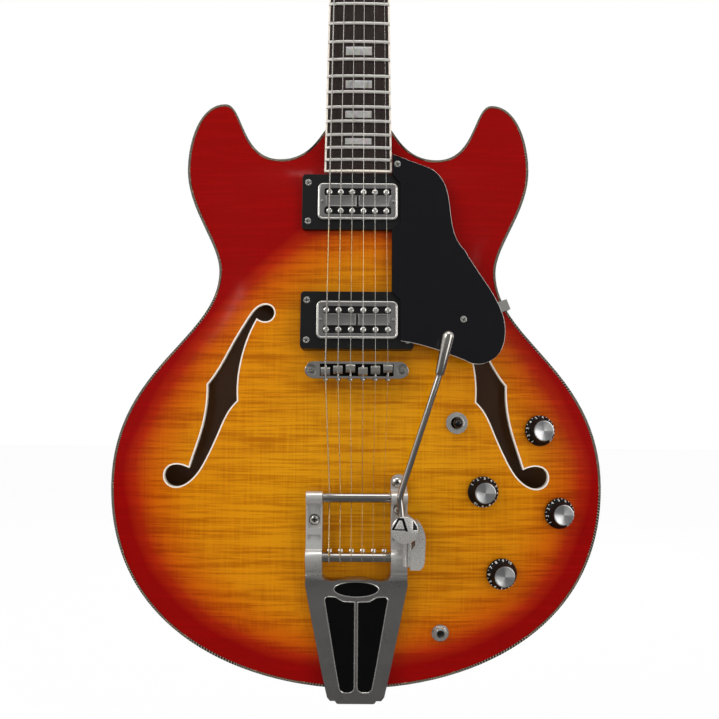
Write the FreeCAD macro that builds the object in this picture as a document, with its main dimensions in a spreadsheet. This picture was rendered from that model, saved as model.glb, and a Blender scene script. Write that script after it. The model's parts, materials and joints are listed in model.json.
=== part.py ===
import FreeCAD, Part
import math
import os

from FreeCAD import Placement, Rotation, Vector
from Sketcher import Constraint

# Semi-hollow electric guitar, in millimetres.
# Row frame: X to the right seen from the front, -Y out of the front, +Z up the neck.
# The origin lies on the centreline, at the nut line, on the plane between neck and fretboard.
# Most pieces are drawn in front frames (x, up, out), where out points at the player's audience.

scale_sizes = {
    "scale_length": 628.65,
    "fret_count": 22,
    "neck_angle": 4.2,
    "neck_overstand": 7.0,
    "nut_string_height": 7.2,
    "bridge_string_height": 10.2,
    "nut_string_spread": 35.6,
    "bridge_string_spread": 50.0,
    "bass_gauge": 1.17,
    "treble_gauge": 0.25,
    "sliding_gap": 0.05,
    "seat_gap": 0.1,
    "moving_gap": 0.4,
}

fretboard_sizes = {
    "fretboard_nut_width": 43.0,
    "fretboard_end_width": 56.0,
    "fretboard_thickness": 5.5,
    "fretboard_radius": 305.0,
    "fretboard_overrun": 10.0,
    "board_binding_width": 1.5,
    "fret_width": 2.4,
    "fret_height": 1.1,
    "fret_tang_width": 0.6,
    "fret_tang_depth": 1.8,
    "inlay_width": 22.0,
    "inlay_share": 0.48,
    "inlay_depth": 1.2,
    "nut_length": 4.8,
    "nut_shoulder": 0.5,
}

neck_sizes = {
    "neck_depth": 21.0,
    "neck_body_depth": 24.0,
    "heel_length": 36.0,
    "heel_depth": 45.0,
    "tenon_width": 48.0,
    "tenon_depth": 38.5,
    "pocket_gap": 0.1,
    "truss_rod_width": 6.0,
    "truss_rod_depth": 12.0,
    "truss_cavity_length": 26.0,
    "truss_nut_radius": 3.0,
    "truss_stem_radius": 2.2,
    "head_angle": 15.0,
    "head_length": 186.0,
    "head_thickness": 14.0,
    "head_base_width": 44.0,
    "head_shoulder_width": 72.0,
    "head_top_width": 84.0,
    "head_veneer": 1.5,
    "cover_width": 24.0,
    "cover_length": 40.0,
    "cover_thickness": 2.0,
}

tuner_sizes = {
    "first_tuner_up": 46.0,
    "tuner_pitch": 39.0,
    "first_tuner_side": 23.0,
    "tuner_splay": 2.6,
    "post_radius": 3.0,
    "post_height": 17.0,
    "bushing_radius": 5.0,
    "bushing_flange": 7.0,
    "bushing_height": 3.0,
    "housing_width": 17.0,
    "housing_length": 26.0,
    "housing_depth": 13.0,
    "housing_wall": 2.0,
    "worm_gear_radius": 4.6,
    "worm_radius": 2.0,
    "button_reach": 17.0,
    "button_width": 8.6,
    "button_length": 19.0,
    "button_thickness": 10.0,
}

body_sizes = {
    "rim_depth": 44.0,
    "top_arch": 11.0,
    "back_arch": 10.0,
    "plate_thickness": 5.0,
    "rim_wall": 2.6,
    "lining_width": 6.0,
    "lining_height": 12.0,
    "binding_width": 2.2,
    "f_hole_binding": 1.15,
    "block_width": 112.0,
    "lower_bout_half": 203.0,
    "lower_bout_up": -94.0,
    "waist_half": 116.0,
    "waist_up": 84.0,
    "upper_bout_half": 144.0,
    "upper_bout_up": 171.0,
    "horn_side": 113.0,
    "horn_up": 227.0,
    "cutaway_side": 66.0,
    "cutaway_up": 180.0,
    "neck_joint_half": 27.5,
    "neck_joint_up": 206.0,
    "tail_down": 259.0,
    "arch_tail_run": 125.0,
    "arch_full_up": 95.0,
    "arch_end_up": 182.0,
    "upper_eye_radius": 7.0,
    "lower_eye_radius": 9.0,
}

pickup_sizes = {
    "ring_width": 92.0,
    "ring_length": 47.0,
    "ring_corner": 3.0,
    "ring_screw_side": 41.0,
    "ring_screw_up": 16.4,
    "ring_drop": 4.6,
    "neck_ring_up": 140.4,
    "bridge_ring_up": 41.7,
    "cover_side": 66.0,
    "cover_up": 31.0,
    "cover_wall": 0.8,
    "cover_rise": 1.6,
    "pickup_depth": 15.0,
    "slot_side": 55.5,
    "slot_up": 6.3,
    "slot_row_pitch": 16.0,
    "slot_depth": 1.2,
    "pole_radius": 2.3,
    "neck_pole_pitch": 9.4,
    "bridge_pole_pitch": 10.0,
    "cavity_side": 78.0,
    "cavity_up": 40.0,
    "guard_thickness": 2.3,
    "guard_gap": 0.3,
    "guard_strap": 1.6,
    "guard_foot_up": 56.8,
    "small_screw_radius": 1.4,
    "small_screw_head": 2.6,
    "small_screw_length": 9.0,
}

bridge_sizes = {
    "stud_spacing": 74.0,
    "stud_radius": 2.4,
    "stud_depth": 20.0,
    "insert_radius": 4.5,
    "wheel_radius": 7.5,
    "wheel_height": 3.0,
    "bridge_length": 82.4,
    "bridge_width": 13.5,
    "bridge_height": 9.0,
    "bridge_wall": 1.8,
    "saddle_width": 7.4,
    "saddle_length": 6.6,
    "saddle_gap": 0.07,
    "saddle_top": 1.2,
    "saddle_screw_radius": 1.2,
}

vibrato_sizes = {
    "vibrato_side": 0.8,
    "vibrato_half": 40.5,
    "vibrato_window_half": 27.4,
    "vibrato_arm_top": -97.0,
    "vibrato_plate_up": -173.0,
    "vibrato_plate_end": -255.0,
    "vibrato_shoulder_up": -170.3,
    "vibrato_foot_half": 23.3,
    "vibrato_foot_up": -264.6,
    "vibrato_tab_half": 14.2,
    "vibrato_tab_up": -272.2,
    "tab_wall_up": -266.0,
    "tab_wall_out": -38.0,
    "tongue_up": -83.0,
    "tongue_thickness": 4.0,
    "vibrato_window_up": -168.0,
    "vibrato_plate_thickness": 5.0,
    "ridge_up": -164.3,
    "recess_width": 10.4,
    "recess_up": -115.7,
    "recess_length": 18.8,
    "recess_depth": 3.4,
    "lower_recess_up": -132.5,
    "lower_recess_length": 4.4,
    "inset_depth": 1.0,
    "bar_up": -100.8,
    "bar_out": 24.0,
    "bar_radius": 4.0,
    "axle_up": -147.7,
    "axle_out": 25.0,
    "axle_radius": 3.8,
    "axle_pin_radius": 1.0,
    "bracket_thickness": 3.0,
    "bracket_side": 49.5,
    "lug_radius": 1.7,
    "flank_up": -127.0,
    "dome_side": 38.0,
    "dome_up": -123.3,
    "dome_out": 42.0,
    "dome_radius": 10.5,
    "arm_rod_radius": 2.5,
    "arm_swing_gap": 0.4,
    "arm_bend_side": 34.2,
    "arm_bend_up": -98.0,
    "arm_handle_side": 64.6,
    "arm_handle_up": -3.2,
    "arm_tip_side": 71.4,
    "arm_tip_up": 27.0,
    "handle_start_radius": 3.7,
    "handle_end_radius": 4.8,
    "spring_radius": 6.0,
    "spring_wire": 1.0,
    "spring_turns": 4,
    "spring_seat": 13.2,
    "vibrato_boss_radius": 6.2,
}

control_sizes = {
    "knob_radius": 12.5,
    "knob_skirt": 2.6,
    "knob_neck_radius": 10.2,
    "knob_cap_radius": 8.3,
    "knob_height": 11.0,
    "knob_lift": 1.2,
    "pot_shaft_radius": 3.0,
    "pot_bush_radius": 4.7,
    "pot_nut_radius": 6.6,
    "pot_can_radius": 12.0,
    "pot_can_height": 10.0,
    "switch_side": 82.0,
    "switch_up": -41.3,
    "switch_nut_radius": 8.8,
    "switch_bush_radius": 5.9,
    "switch_tip_radius": 3.9,
    "switch_lever_height": 11.0,
    "jack_side": 69.2,
    "jack_up": -211.5,
    "jack_nut_radius": 6.3,
    "jack_bush_radius": 4.6,
    "jack_bore_radius": 3.25,
    "jack_body_length": 22.0,
    "strap_button_radius": 7.2,
    "strap_button_height": 10.0,
}

# Each knob's distance in from the widest point of the lower bout, and up from its height.
knob_offsets = {
    "knob_neck_volume": (52.3, 46.6),
    "knob_bridge_volume": (99.6, -3.1),
    "knob_neck_tone": (36.1, -20.9),
    "knob_bridge_tone": (84.4, -69.3),
}

doc = FreeCAD.newDocument("Guitar")
sheet = doc.addObject("Spreadsheet::Sheet", "Sizes")
sub_parts = []


class Cell(float):
    """A size of the sheet, which keeps its own expression through plain arithmetic."""

    def __new__(cls, value, text):
        cell = float.__new__(cls, value)
        cell.text = text
        return cell

    def joined(self, sign, other, value):
        other_text = other.text if isinstance(other, Cell) else repr(other)
        return Cell(value, f"({self.text} {sign} {other_text})")

    def __add__(self, other):
        return self.joined("+", other, float(self) + float(other))

    def __sub__(self, other):
        return self.joined("-", other, float(self) - float(other))

    def __mul__(self, other):
        return self.joined("*", other, float(self) * float(other))

    def __truediv__(self, other):
        return self.joined("/", other, float(self) / float(other))

    def __neg__(self):
        return Cell(-float(self), f"(0 - {self.text})")


class SheetReader:
    """Gives a cell of the sheet by its alias."""

    def __getattr__(self, alias):
        return Cell(float(sheet.get(alias)), "Sizes." + alias)


size = SheetReader()


def fill_sheet():
    row = 1
    groups = (scale_sizes, fretboard_sizes, neck_sizes, tuner_sizes, body_sizes,
              pickup_sizes, bridge_sizes, vibrato_sizes, control_sizes)
    for group in groups:
        for alias, value in group.items():
            sheet.set(f"A{row}", alias)
            sheet.set(f"B{row}", str(value))
            sheet.setAlias(f"B{row}", alias)
            row += 1
    doc.recompute()


# Frames

def facing_front(x, y, z, lean=0.0):
    """A frame whose local x, y, z are right, up and out of the front, leaning back by lean."""
    return Placement(Vector(x, y, z), Rotation(Vector(1, 0, 0), 90 - lean))


def neck_frame():
    return facing_front(0, 0, 0, size.neck_angle)


def head_frame():
    base = neck_frame().multVec(Vector(0, size.nut_length, 0))
    return facing_front(base.x, base.y, base.z, size.neck_angle + size.head_angle)


def bridge_line():
    """Height in the row frame of the body frame's zero, at the scale length down the neck."""
    return -size.scale_length * math.cos(math.radians(size.neck_angle))


def board_end():
    """Distance from the nut line to the end of the fretboard."""
    return fret_distance(int(size.fret_count)) + size.fretboard_overrun


def body_frame():
    front = size.neck_overstand - float(board_end()) * math.sin(math.radians(size.neck_angle))
    return facing_front(0, front, bridge_line())


def in_body(frame, point):
    """A point of another frame, given in the body frame."""
    return body_frame().inverse().multVec(frame.multVec(point))


def string_plane():
    """Frame on the plane of the strings, with its zero at the bridge end of the scale."""
    nut = in_body(neck_frame(), Vector(0, 0, size.nut_string_height))
    saddle = in_body(neck_frame(), Vector(0, -size.scale_length, size.bridge_string_height))
    rise = math.degrees(math.atan2(saddle.z - nut.z, nut.y - saddle.y))
    return Placement(saddle, Rotation(Vector(1, 0, 0), -rise))


def ring_plane():
    """Frame on the top faces of the pickup rings, parallel to the strings, in the body frame."""
    return string_plane() * Placement(Vector(0, 0, -size.ring_drop), Rotation())


# Shared shape helpers

def fret_distance(number):
    return size.scale_length * (1 - 2 ** (-number / 12))


def polygon(points):
    corners = [Vector(*point) for point in points]
    return Part.makePolygon(corners + [corners[0]])


def prism(wire, bottom, top):
    """The solid inside a wire drawn on the xy plane, from one height to another."""
    face = Part.Face(wire)
    face.translate(Vector(0, 0, bottom))
    return face.extrude(Vector(0, 0, top - bottom))


def rounded_box(width, length, bottom, top, corner, centre=(0, 0)):
    box = Part.makeBox(width, length, top - bottom,
                       Vector(centre[0] - width / 2, centre[1] - length / 2, bottom))
    upright = [edge for edge in box.Edges if abs(edge.tangentAt(edge.FirstParameter).z) > 0.9]
    return box.makeFillet(corner, upright)


def cylinder(radius, bottom, top, centre=(0, 0)):
    return Part.makeCylinder(radius, top - bottom, Vector(centre[0], centre[1], bottom))


def crosswise(radius, left, right, up, out):
    """A cylinder along x."""
    return Part.makeCylinder(radius, right - left, Vector(left, up, out), Vector(1, 0, 0))


def moved(shape, frame):
    placed = shape.copy()
    placed.Placement = frame * placed.Placement
    return placed


def smooth_curve(points):
    """A flat curve through points given as pairs."""
    curve = Part.BSplineCurve()
    curve.interpolate([Vector(x, up, 0) for x, up in points])
    return curve


def spline(points):
    return smooth_curve(points).toShape()


def mirrored(shape):
    return shape.mirror(Vector(0, 0, 0), Vector(1, 0, 0))


def corner_arc(start, corner, end):
    """The arc that touches both legs of a corner, from start to end."""
    middle = (start + end) * 0.5
    half_chord = (end - start).Length / 2
    bend = math.acos(min(1, half_chord / (corner - start).Length))
    if bend < 1e-6:
        return Part.LineSegment(start, end)
    share = math.tan(bend / 2) / math.tan(bend)
    return Part.Arc(start, middle + (corner - middle) * share, end)


def tube(path_edges, radius):
    path = Part.Wire(path_edges)
    start = path_edges[0].firstVertex().Point
    direction = path_edges[0].tangentAt(path_edges[0].FirstParameter)
    section = Part.Wire(Part.Circle(start, direction, radius).toShape())
    return path.makePipeShell([section], True, False)


def bent_path(points, radii):
    """Straight runs through the points, joined by arcs of the given radii."""
    edges = []
    start = points[0]
    for before, corner, after, radius in zip(points, points[1:], points[2:], radii):
        arrive = (corner - before).normalize()
        leave = (after - corner).normalize()
        cut = radius * math.tan(arrive.getAngle(leave) / 2)
        entry = corner - arrive * cut
        away = corner + leave * cut
        edges.append(Part.LineSegment(start, entry).toShape())
        edges.append(corner_arc(entry, corner, away).toShape())
        start = away
    edges.append(Part.LineSegment(start, points[-1]).toShape())
    return edges


# Document helpers

def keep(item, label, frame=Placement()):
    item.Label = label
    item.Placement = frame * item.Placement
    sub_parts.append(item)
    return item


def piece(label, shapes, frame=Placement()):
    """A sub-part whose solids are made in code."""
    item = doc.addObject("Part::Feature", label)
    if isinstance(shapes, (list, tuple)):
        solids = [solid for shape in shapes for solid in shape.Solids]
        item.Shape = Part.makeCompound(solids)
    else:
        item.Shape = shapes
    return keep(item, label, frame)


def primitive(kind, label, height=0.0, **cells):
    """A Part primitive whose sizes follow the sheet, set at a height of its frame."""
    item = doc.addObject("Part::" + kind, label)
    for name, cell in cells.items():
        item.setExpression(name, cell.text)
    item.Placement = Placement(Vector(0, 0, height), Rotation())
    return item


def bored(label, item, spaces):
    """The object with spaces cut from it, as a Part::Cut."""
    holes = doc.addObject("Part::Feature", label + "_holes")
    holes.Shape = Part.makeCompound(spaces)
    cut = doc.addObject("Part::Cut", label)
    cut.Base = item
    cut.Tool = holes
    return cut


def origin_plane(body, role):
    return next(item for item in body.Origin.OriginFeatures if item.Role == role)


def drawn_polygon(sketch, corners):
    """Closes a polygon through the corners and ties each corner to the sheet."""
    geometry = [Part.LineSegment(Vector(*start, 0), Vector(*end, 0))
                for start, end in zip(corners, corners[1:] + corners[:1])]
    sketch.addGeometry(geometry, False)
    for index in range(len(corners)):
        following = (index + 1) % len(corners)
        constrain(sketch, "Coincident", index, 2, following, 1)
    for index, (across, along) in enumerate(corners):
        tie(sketch, "DistanceX", index, across)
        tie(sketch, "DistanceY", index, along)


def constrain(sketch, kind, *values):
    return sketch.addConstraint(Constraint(kind, *values))


def tie(sketch, kind, index, cell):
    if float(cell) == 0:
        constrain(sketch, "PointOnObject", index, 1, -2 if kind == "DistanceX" else -1)
        return
    number = constrain(sketch, kind, -1, 1, index, 1, float(cell))
    if isinstance(cell, Cell):
        sketch.setExpression(f"Constraints[{number}]", cell.text)


def sketched_body(label, plane, corners):
    body = doc.addObject("PartDesign::Body", label)
    sketch = body.newObject("Sketcher::SketchObject", label + "_outline")
    sketch.AttachmentSupport = (origin_plane(body, plane), [""])
    sketch.MapMode = "FlatFace"
    drawn_polygon(sketch, corners)
    return body, sketch


def turned_body(label, corners):
    """A body of revolution about local z; each corner is a radius and a height."""
    body, sketch = sketched_body(label, "XZ_Plane", corners)
    turning = body.newObject("PartDesign::Revolution", label + "_turning")
    turning.Profile = sketch
    turning.ReferenceAxis = (sketch, ["V_Axis"])
    turning.Angle = 360
    return body


def padded_body(label, corners, thickness):
    """A flat plate with a polygon outline on local xy."""
    body, sketch = sketched_body(label, "XY_Plane", corners)
    pad = body.newObject("PartDesign::Pad", label + "_pad")
    pad.Profile = sketch
    pad.setExpression("Length", thickness.text)
    return body


# Body outline and arching, in the body frame

def outline_marks(inset):
    """Points of the right half from tail to neck: place, direction and the two handles.

    Each point moves in by the inset along its normal, and the handles of convex arcs shrink.
    """
    to_neck = (-math.cos(0.8), math.sin(0.8))
    marks = [
        (0, -size.tail_down, (1, 0), 0, 87 - 0.55 * inset),
        (size.lower_bout_half, size.lower_bout_up, (0, 1), 123 - 0.55 * inset, 98 - 0.3 * inset),
        (size.waist_half, size.waist_up, (0, 1), 57 + 0.3 * inset, 24 + 0.3 * inset),
        (size.upper_bout_half, size.upper_bout_up, (0, 1), 35 - 0.3 * inset, 26 - 0.55 * inset),
        (size.horn_side, size.horn_up, (-1, 0), 21 - 0.55 * inset, 16 - 0.5 * inset),
        (size.cutaway_side, size.cutaway_up, (-1, 0), 34 + 0.5 * inset, 25 + 0.25 * inset),
        (size.neck_joint_half, size.neck_joint_up, to_neck, 7 + 0.25 * inset, 0),
    ]
    result = []
    for x, up, (dx, dy), arriving, leaving in marks:
        place = Vector(x - dy * inset, up + dx * inset, 0)
        result.append((place, Vector(dx, dy, 0), arriving, leaving))
    return result


def half_outline(inset, side):
    """Edges of one half of the outline; side is 1 for the right half and -1 for the left."""
    marks = outline_marks(inset)
    edges = []
    for first, second in zip(marks, marks[1:]):
        poles = [first[0], first[0] + first[1] * first[3],
                 second[0] - second[1] * second[2], second[0]]
        curve = Part.BezierCurve()
        curve.setPoles([Vector(side * pole.x, pole.y, 0) for pole in poles])
        edges.append(curve.toShape())
    return edges


def outline(inset=0.0):
    right = half_outline(inset, 1)
    left = half_outline(inset, -1)
    neck_end = outline_marks(inset)[-1][0]
    closing = Part.LineSegment(neck_end, Vector(-neck_end.x, neck_end.y, 0)).toShape()
    return Part.Wire(right + [closing] + left[::-1])


def outline_widths():
    """Half width of the body against height, as points of the outline in rising order."""
    points = []
    for edge in half_outline(0, 1)[:4]:
        points += edge.discretize(24)
    return [(point.y, point.x) for point in points]


def width_at(widths, up):
    if up <= widths[0][0]:
        return 1.0
    for (low, near), (high, far) in zip(widths, widths[1:]):
        if low <= up <= high and high > low:
            return near + (far - near) * (up - low) / (high - low)
    return widths[-1][1]


def swell(share):
    """Arching across the body: 1 in the middle, 0 with a flat recurve at the edge."""
    return (1 - min(1, abs(share)) ** 4) ** 2


def arch_share(widths, x, up):
    """Share of the full arch height at a place on the plate."""
    tail = swell(1 - max(0, min(1, (up + size.tail_down) / size.arch_tail_run)))
    run = size.arch_end_up - size.arch_full_up
    shoulder = swell(max(0, (up - size.arch_full_up) / run))
    return tail * shoulder * swell(x / max(1.0, width_at(widths, up)))


def arch_face(height):
    """The arched face of a plate, as one smooth surface wider than the outline."""
    widths = outline_widths()
    columns = 41
    rows = 49
    side = size.lower_bout_half + 12
    low = -size.tail_down - 14
    high = size.horn_up + 14
    grid = []
    for row in range(rows):
        up = low + (high - low) * row / (rows - 1)
        grid.append([Vector(x, up, height * arch_share(widths, x, up))
                     for x in (side * (2 * column / (columns - 1) - 1) for column in range(columns))])
    surface = Part.BSplineSurface()
    surface.interpolate(grid)
    return surface.toShape()


def surface_frame(x, up):
    """Frame on the top plate with its z along the plate's normal, in the body frame."""
    widths = outline_widths()
    step = 0.5
    height = size.top_arch * arch_share(widths, x, up)
    slope_x = (size.top_arch * arch_share(widths, x + step, up) - height) / step
    slope_up = (size.top_arch * arch_share(widths, x, up + step) - height) / step
    normal = Vector(-slope_x, -slope_up, 1)
    return Placement(Vector(x, up, height), Rotation(Vector(0, 0, 1), normal))


def eye_arc(centre, radius, start, end):
    """Points round an eye of the f-hole, from one angle to another in degrees."""
    count = 5
    angles = [math.radians(start + (end - start) * step / (count - 1)) for step in range(count)]
    return [(centre[0] + radius * math.cos(angle), centre[1] + radius * math.sin(angle))
            for angle in angles]


def f_hole_runs():
    """The left f-hole as smooth runs: two eyes and a stem with a corner on each side."""
    upper_eye = eye_arc((-75.5, 48.4), size.upper_eye_radius, -90, 90)
    lower_eye = eye_arc((-149.0, -86.0), size.lower_eye_radius, 90, 270)
    inner_top = (-83.2, 44.1)
    outer_corner = (-122.9, -11.0)
    inner_bottom = (-137.1, -79.7)
    inner_corner = (-98.3, -24.1)
    return [
        [inner_top, (-80.0, 42.2)] + upper_eye + [(-83.9, 51.9), (-89.9, 44.1), (-100.7, 26.2),
                                                  (-113.8, 1.8), outer_corner],
        [outer_corner, (-123.6, -30.3), (-126.2, -44.6), (-130.7, -60.0), inner_bottom],
        [inner_bottom, (-141.5, -77.9)] + lower_eye + [(-140.8, -92.9), (-132.6, -86.2),
                                                       (-121.9, -68.7), (-114.4, -52.2),
                                                       (-105.9, -33.5), inner_corner],
        [inner_corner, (-98.1, -3.7), (-95.5, 11.8), (-91.3, 26.3), inner_top],
    ]


def headings(points):
    """Direction of the smooth curve through the points, at each of them."""
    curve = smooth_curve(points)
    places = [Vector(x, up, 0) for x, up in points]
    found = [curve.tangent(curve.parameter(place))[0] for place in places]
    return [direction.normalize() for direction in found]


def widened(runs, distance):
    """The runs of a closed outline moved to their right, with mitred corners."""
    directions = [headings(points) for points in runs]
    result = []
    for index, points in enumerate(runs):
        before = directions[index - 1][-1]
        after = directions[(index + 1) % len(runs)][0]
        moved_points = []
        for number, ((x, up), heading) in enumerate(zip(points, directions[index])):
            other = heading
            if number == 0:
                other = before
            if number == len(points) - 1:
                other = after
            first = Vector(heading.y, -heading.x, 0)
            second = Vector(other.y, -other.x, 0)
            shift = (first + second) * (distance / (1 + first.dot(second)))
            moved_points.append((x + shift.x, up + shift.y))
        result.append(moved_points)
    return result


def closed_wire(runs):
    return Part.Wire([spline(points) for points in runs])


def neck_pocket(gap):
    """The neck's tenon, or its pocket when a gap is given, in the body frame."""
    end = in_body(neck_frame(), Vector(0, -float(board_end()), 0)).y
    top = size.neck_overstand + 12
    half = size.tenon_width / 2 + gap
    return Part.makeBox(2 * half, size.neck_joint_up + 2 - end + gap, top + size.tenon_depth + gap,
                        Vector(-half, end - gap, -size.tenon_depth - gap))


def pickup_cavities():
    """Space for both pickups under their rings."""
    return [rounded_box(size.cavity_side, size.cavity_up, -22.0, 60.0, 4.0, (0, up))
            for up in (size.neck_ring_up, size.bridge_ring_up)]


def knob_places():
    """Frame on the top under each knob, by the knob's name."""
    return {label: surface_frame(size.lower_bout_half - inward, size.lower_bout_up + rise)
            for label, (inward, rise) in knob_offsets.items()}


def control_holes():
    """Round holes through the top for the controls, the switch and the jack."""
    holes = [moved(cylinder(size.pot_bush_radius + size.seat_gap, -20, 20), place)
             for place in knob_places().values()]
    switch = surface_frame(size.switch_side, size.switch_up)
    holes.append(moved(cylinder(size.switch_bush_radius + size.seat_gap, -20, 20), switch))
    jack = surface_frame(size.jack_side, size.jack_up)
    holes.append(moved(cylinder(size.jack_bush_radius + size.seat_gap, -20, 20), jack))
    return holes


def build_body():
    top_face = arch_face(size.top_arch)
    back_face = arch_face(-size.back_arch)
    back_face.translate(Vector(0, 0, -size.rim_depth))
    thickness = size.plate_thickness
    top_slab = top_face.extrude(Vector(0, 0, -thickness))
    back_slab = back_face.extrude(Vector(0, 0, thickness))
    full = prism(outline(), -size.rim_depth, 0)
    inset = prism(outline(size.binding_width), -size.rim_depth - 20, 20)
    pocket = neck_pocket(size.pocket_gap)
    frame = body_frame()

    runs = f_hole_runs()
    hole_prism = prism(closed_wire(runs), -15, 25)
    wide_prism = prism(closed_wire(widened(runs, size.f_hole_binding)), -15, 25)
    edging = wide_prism.cut(hole_prism)

    blank = top_slab.common(inset)
    cutters = [wide_prism, mirrored(wide_prism), pocket] + pickup_cavities() + control_holes()
    cutters += stud_holes() + vibrato_screw_holes()
    cutters += [screw_space(item) for up in (size.neck_ring_up, size.bridge_ring_up)
                for item in ring_screw_frames(up)]
    piece("body_top", blank.cut(cutters), frame)
    piece("f_hole_bindings", [blank.common(edging), blank.common(mirrored(edging))], frame)
    piece("body_back", back_slab.common(inset).cut(heel_strap_hole()), frame)

    edge_band = full.cut(inset)
    corner_top = Part.makeBox(500, 600, thickness, Vector(-250, -300, -thickness))
    corner_back = Part.makeBox(500, 600, thickness, Vector(-250, -300, -size.rim_depth))
    edges = [edge_band.common(corner_top).cut(pocket), edge_band.common(corner_back)]
    piece("body_bindings", edges, frame)

    low = -size.rim_depth + thickness
    wall = prism(outline(), low, -thickness)
    hollow = prism(outline(size.rim_wall), low, -thickness)
    side_holes = [heel_strap_hole(), strap_hole_tail(), screw_space(bracket_screw_frame(), 8.0)]
    piece("body_rim", wall.cut([hollow, pocket] + side_holes), frame)
    inner = prism(outline(size.rim_wall + size.lining_width), low, -thickness)
    lining = hollow.cut(inner)
    height = size.lining_height
    middle = Part.makeBox(500, 600, -2 * thickness + size.rim_depth - 2 * height,
                          Vector(-250, -300, low + height))
    block_space = Part.makeBox(size.block_width, 600, 80, Vector(-size.block_width / 2, -300, -60))
    piece("rim_linings", lining.cut([middle, block_space] + side_holes), frame)

    raised = top_face.copy()
    raised.translate(Vector(0, 0, -thickness))
    over = raised.extrude(Vector(0, 0, 50))
    lowered = back_face.copy()
    lowered.translate(Vector(0, 0, thickness))
    under = lowered.extrude(Vector(0, 0, -50))
    block = prism(outline(size.rim_wall), -size.rim_depth - 15, 15).common(block_space)
    block_cuts = [over, under, pocket] + pickup_cavities() + stud_holes()
    block_cuts += vibrato_screw_holes() + side_holes
    piece("centre_block", block.cut(block_cuts), frame)
    return top_face


# Neck, fretboard and headstock

def board_width_at(distance):
    share = distance / board_end()
    return size.fretboard_nut_width + (size.fretboard_end_width - size.fretboard_nut_width) * share


def crowned_section(half, distance, bottom, top, radius):
    """A flat-bottomed section with a round top, square to the fretboard's length."""
    edge_drop = radius - math.sqrt(radius ** 2 - half ** 2)
    left = Vector(-half, -distance, top - edge_drop)
    right = Vector(half, -distance, top - edge_drop)
    arc = Part.Arc(left, Vector(0, -distance, top), right).toShape()
    low_left = Vector(-half, -distance, bottom)
    low_right = Vector(half, -distance, bottom)
    sides = [(right, low_right), (low_right, low_left), (low_left, left)]
    return Part.Wire([arc] + [Part.LineSegment(a, b).toShape() for a, b in sides])


def board_blank():
    """The whole fretboard with its binding, before any slot is cut."""
    sections = [crowned_section(board_width_at(distance) / 2, distance, 0,
                                size.fretboard_thickness, size.fretboard_radius)
                for distance in (0, float(board_end()))]
    return Part.makeLoft(sections, True, True)


def board_core_space():
    """Upright space of the board inside its binding."""
    end = board_end() - size.board_binding_width
    near = size.fretboard_nut_width / 2 - size.board_binding_width
    far = size.fretboard_end_width / 2 - size.board_binding_width
    corners = [(-near, 1, 0), (near, 1, 0), (far, -end, 0), (-far, -end, 0)]
    return prism(polygon(corners), -1, size.fretboard_thickness + 1)


def fret_places():
    return [float(fret_distance(number)) for number in range(1, int(size.fret_count) + 1)]


def inlay_boxes():
    """Block inlays centred between frets, each a fixed share of its fret's gap."""
    boxes = []
    for number in (3, 5, 7, 9, 12, 15, 17, 19, 21):
        if number > size.fret_count:
            continue
        low = float(fret_distance(number))
        high = float(fret_distance(number - 1))
        length = (low - high) * size.inlay_share
        middle = (low + high) / 2
        boxes.append(Part.makeBox(size.inlay_width, length, size.inlay_depth + 1,
                                  Vector(-size.inlay_width / 2, -middle - length / 2,
                                         size.fretboard_thickness - size.inlay_depth)))
    return boxes


def build_fretboard():
    blank = board_blank()
    inner = blank.common(board_core_space())
    boxes = inlay_boxes()
    slots = [Part.makeBox(80, size.fret_tang_width, size.fret_tang_depth + 1,
                          Vector(-40, -place - size.fret_tang_width / 2,
                                 size.fretboard_thickness - size.fret_tang_depth))
             for place in fret_places()]
    piece("fretboard", inner.cut(boxes + slots), neck_frame())
    piece("fret_inlays", [inner.common(box) for box in boxes], neck_frame())
    piece("fretboard_binding", blank.cut(board_core_space()), neck_frame())

    frets = []
    for place in fret_places():
        half = board_width_at(place) / 2
        crown = crowned_section(half - 0.2, place + size.fret_width / 2, size.fretboard_thickness - 2,
                                size.fretboard_thickness + size.fret_height,
                                size.fretboard_radius + size.fret_height)
        bar = Part.Face(crown).extrude(Vector(0, size.fret_width, 0))
        under = crowned_section(half + 1, place + size.fret_width, -1, size.fretboard_thickness,
                                size.fretboard_radius)
        bar = bar.cut(Part.Face(under).extrude(Vector(0, 2 * size.fret_width, 0)))
        tang_half = half - size.board_binding_width
        tang = Part.makeBox(2 * tang_half, size.fret_tang_width, size.fret_tang_depth + 0.5,
                            Vector(-tang_half, -place - size.fret_tang_width / 2,
                                   size.fretboard_thickness - size.fret_tang_depth))
        board_space = crowned_section(tang_half, place + size.fret_width, -1,
                                      size.fretboard_thickness + 0.4,
                                      size.fretboard_radius + 0.4)
        tang = tang.common(Part.Face(board_space).extrude(Vector(0, 2 * size.fret_width, 0)))
        frets.append(bar.fuse(tang))
    piece("frets", frets, neck_frame())


def neck_section(half, depth, distance):
    """A flat-topped, round-backed section of the neck."""
    left = Vector(-half, -distance, 0)
    right = Vector(half, -distance, 0)
    back = Vector(0, -distance, -depth)
    flat = Part.LineSegment(left, right).toShape()
    edges = [flat]
    for start, end, side in ((right, back, 1), (back, left, -1)):
        curve = Part.BezierCurve()
        hip = Vector(side * half, -distance, -0.62 * depth)
        sole = Vector(side * 0.55 * half, -distance, -depth)
        handles = [hip, sole] if side > 0 else [sole, hip]
        curve.setPoles([start] + handles + [end])
        edges.append(curve.toShape())
    return Part.Wire(edges)


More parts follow.
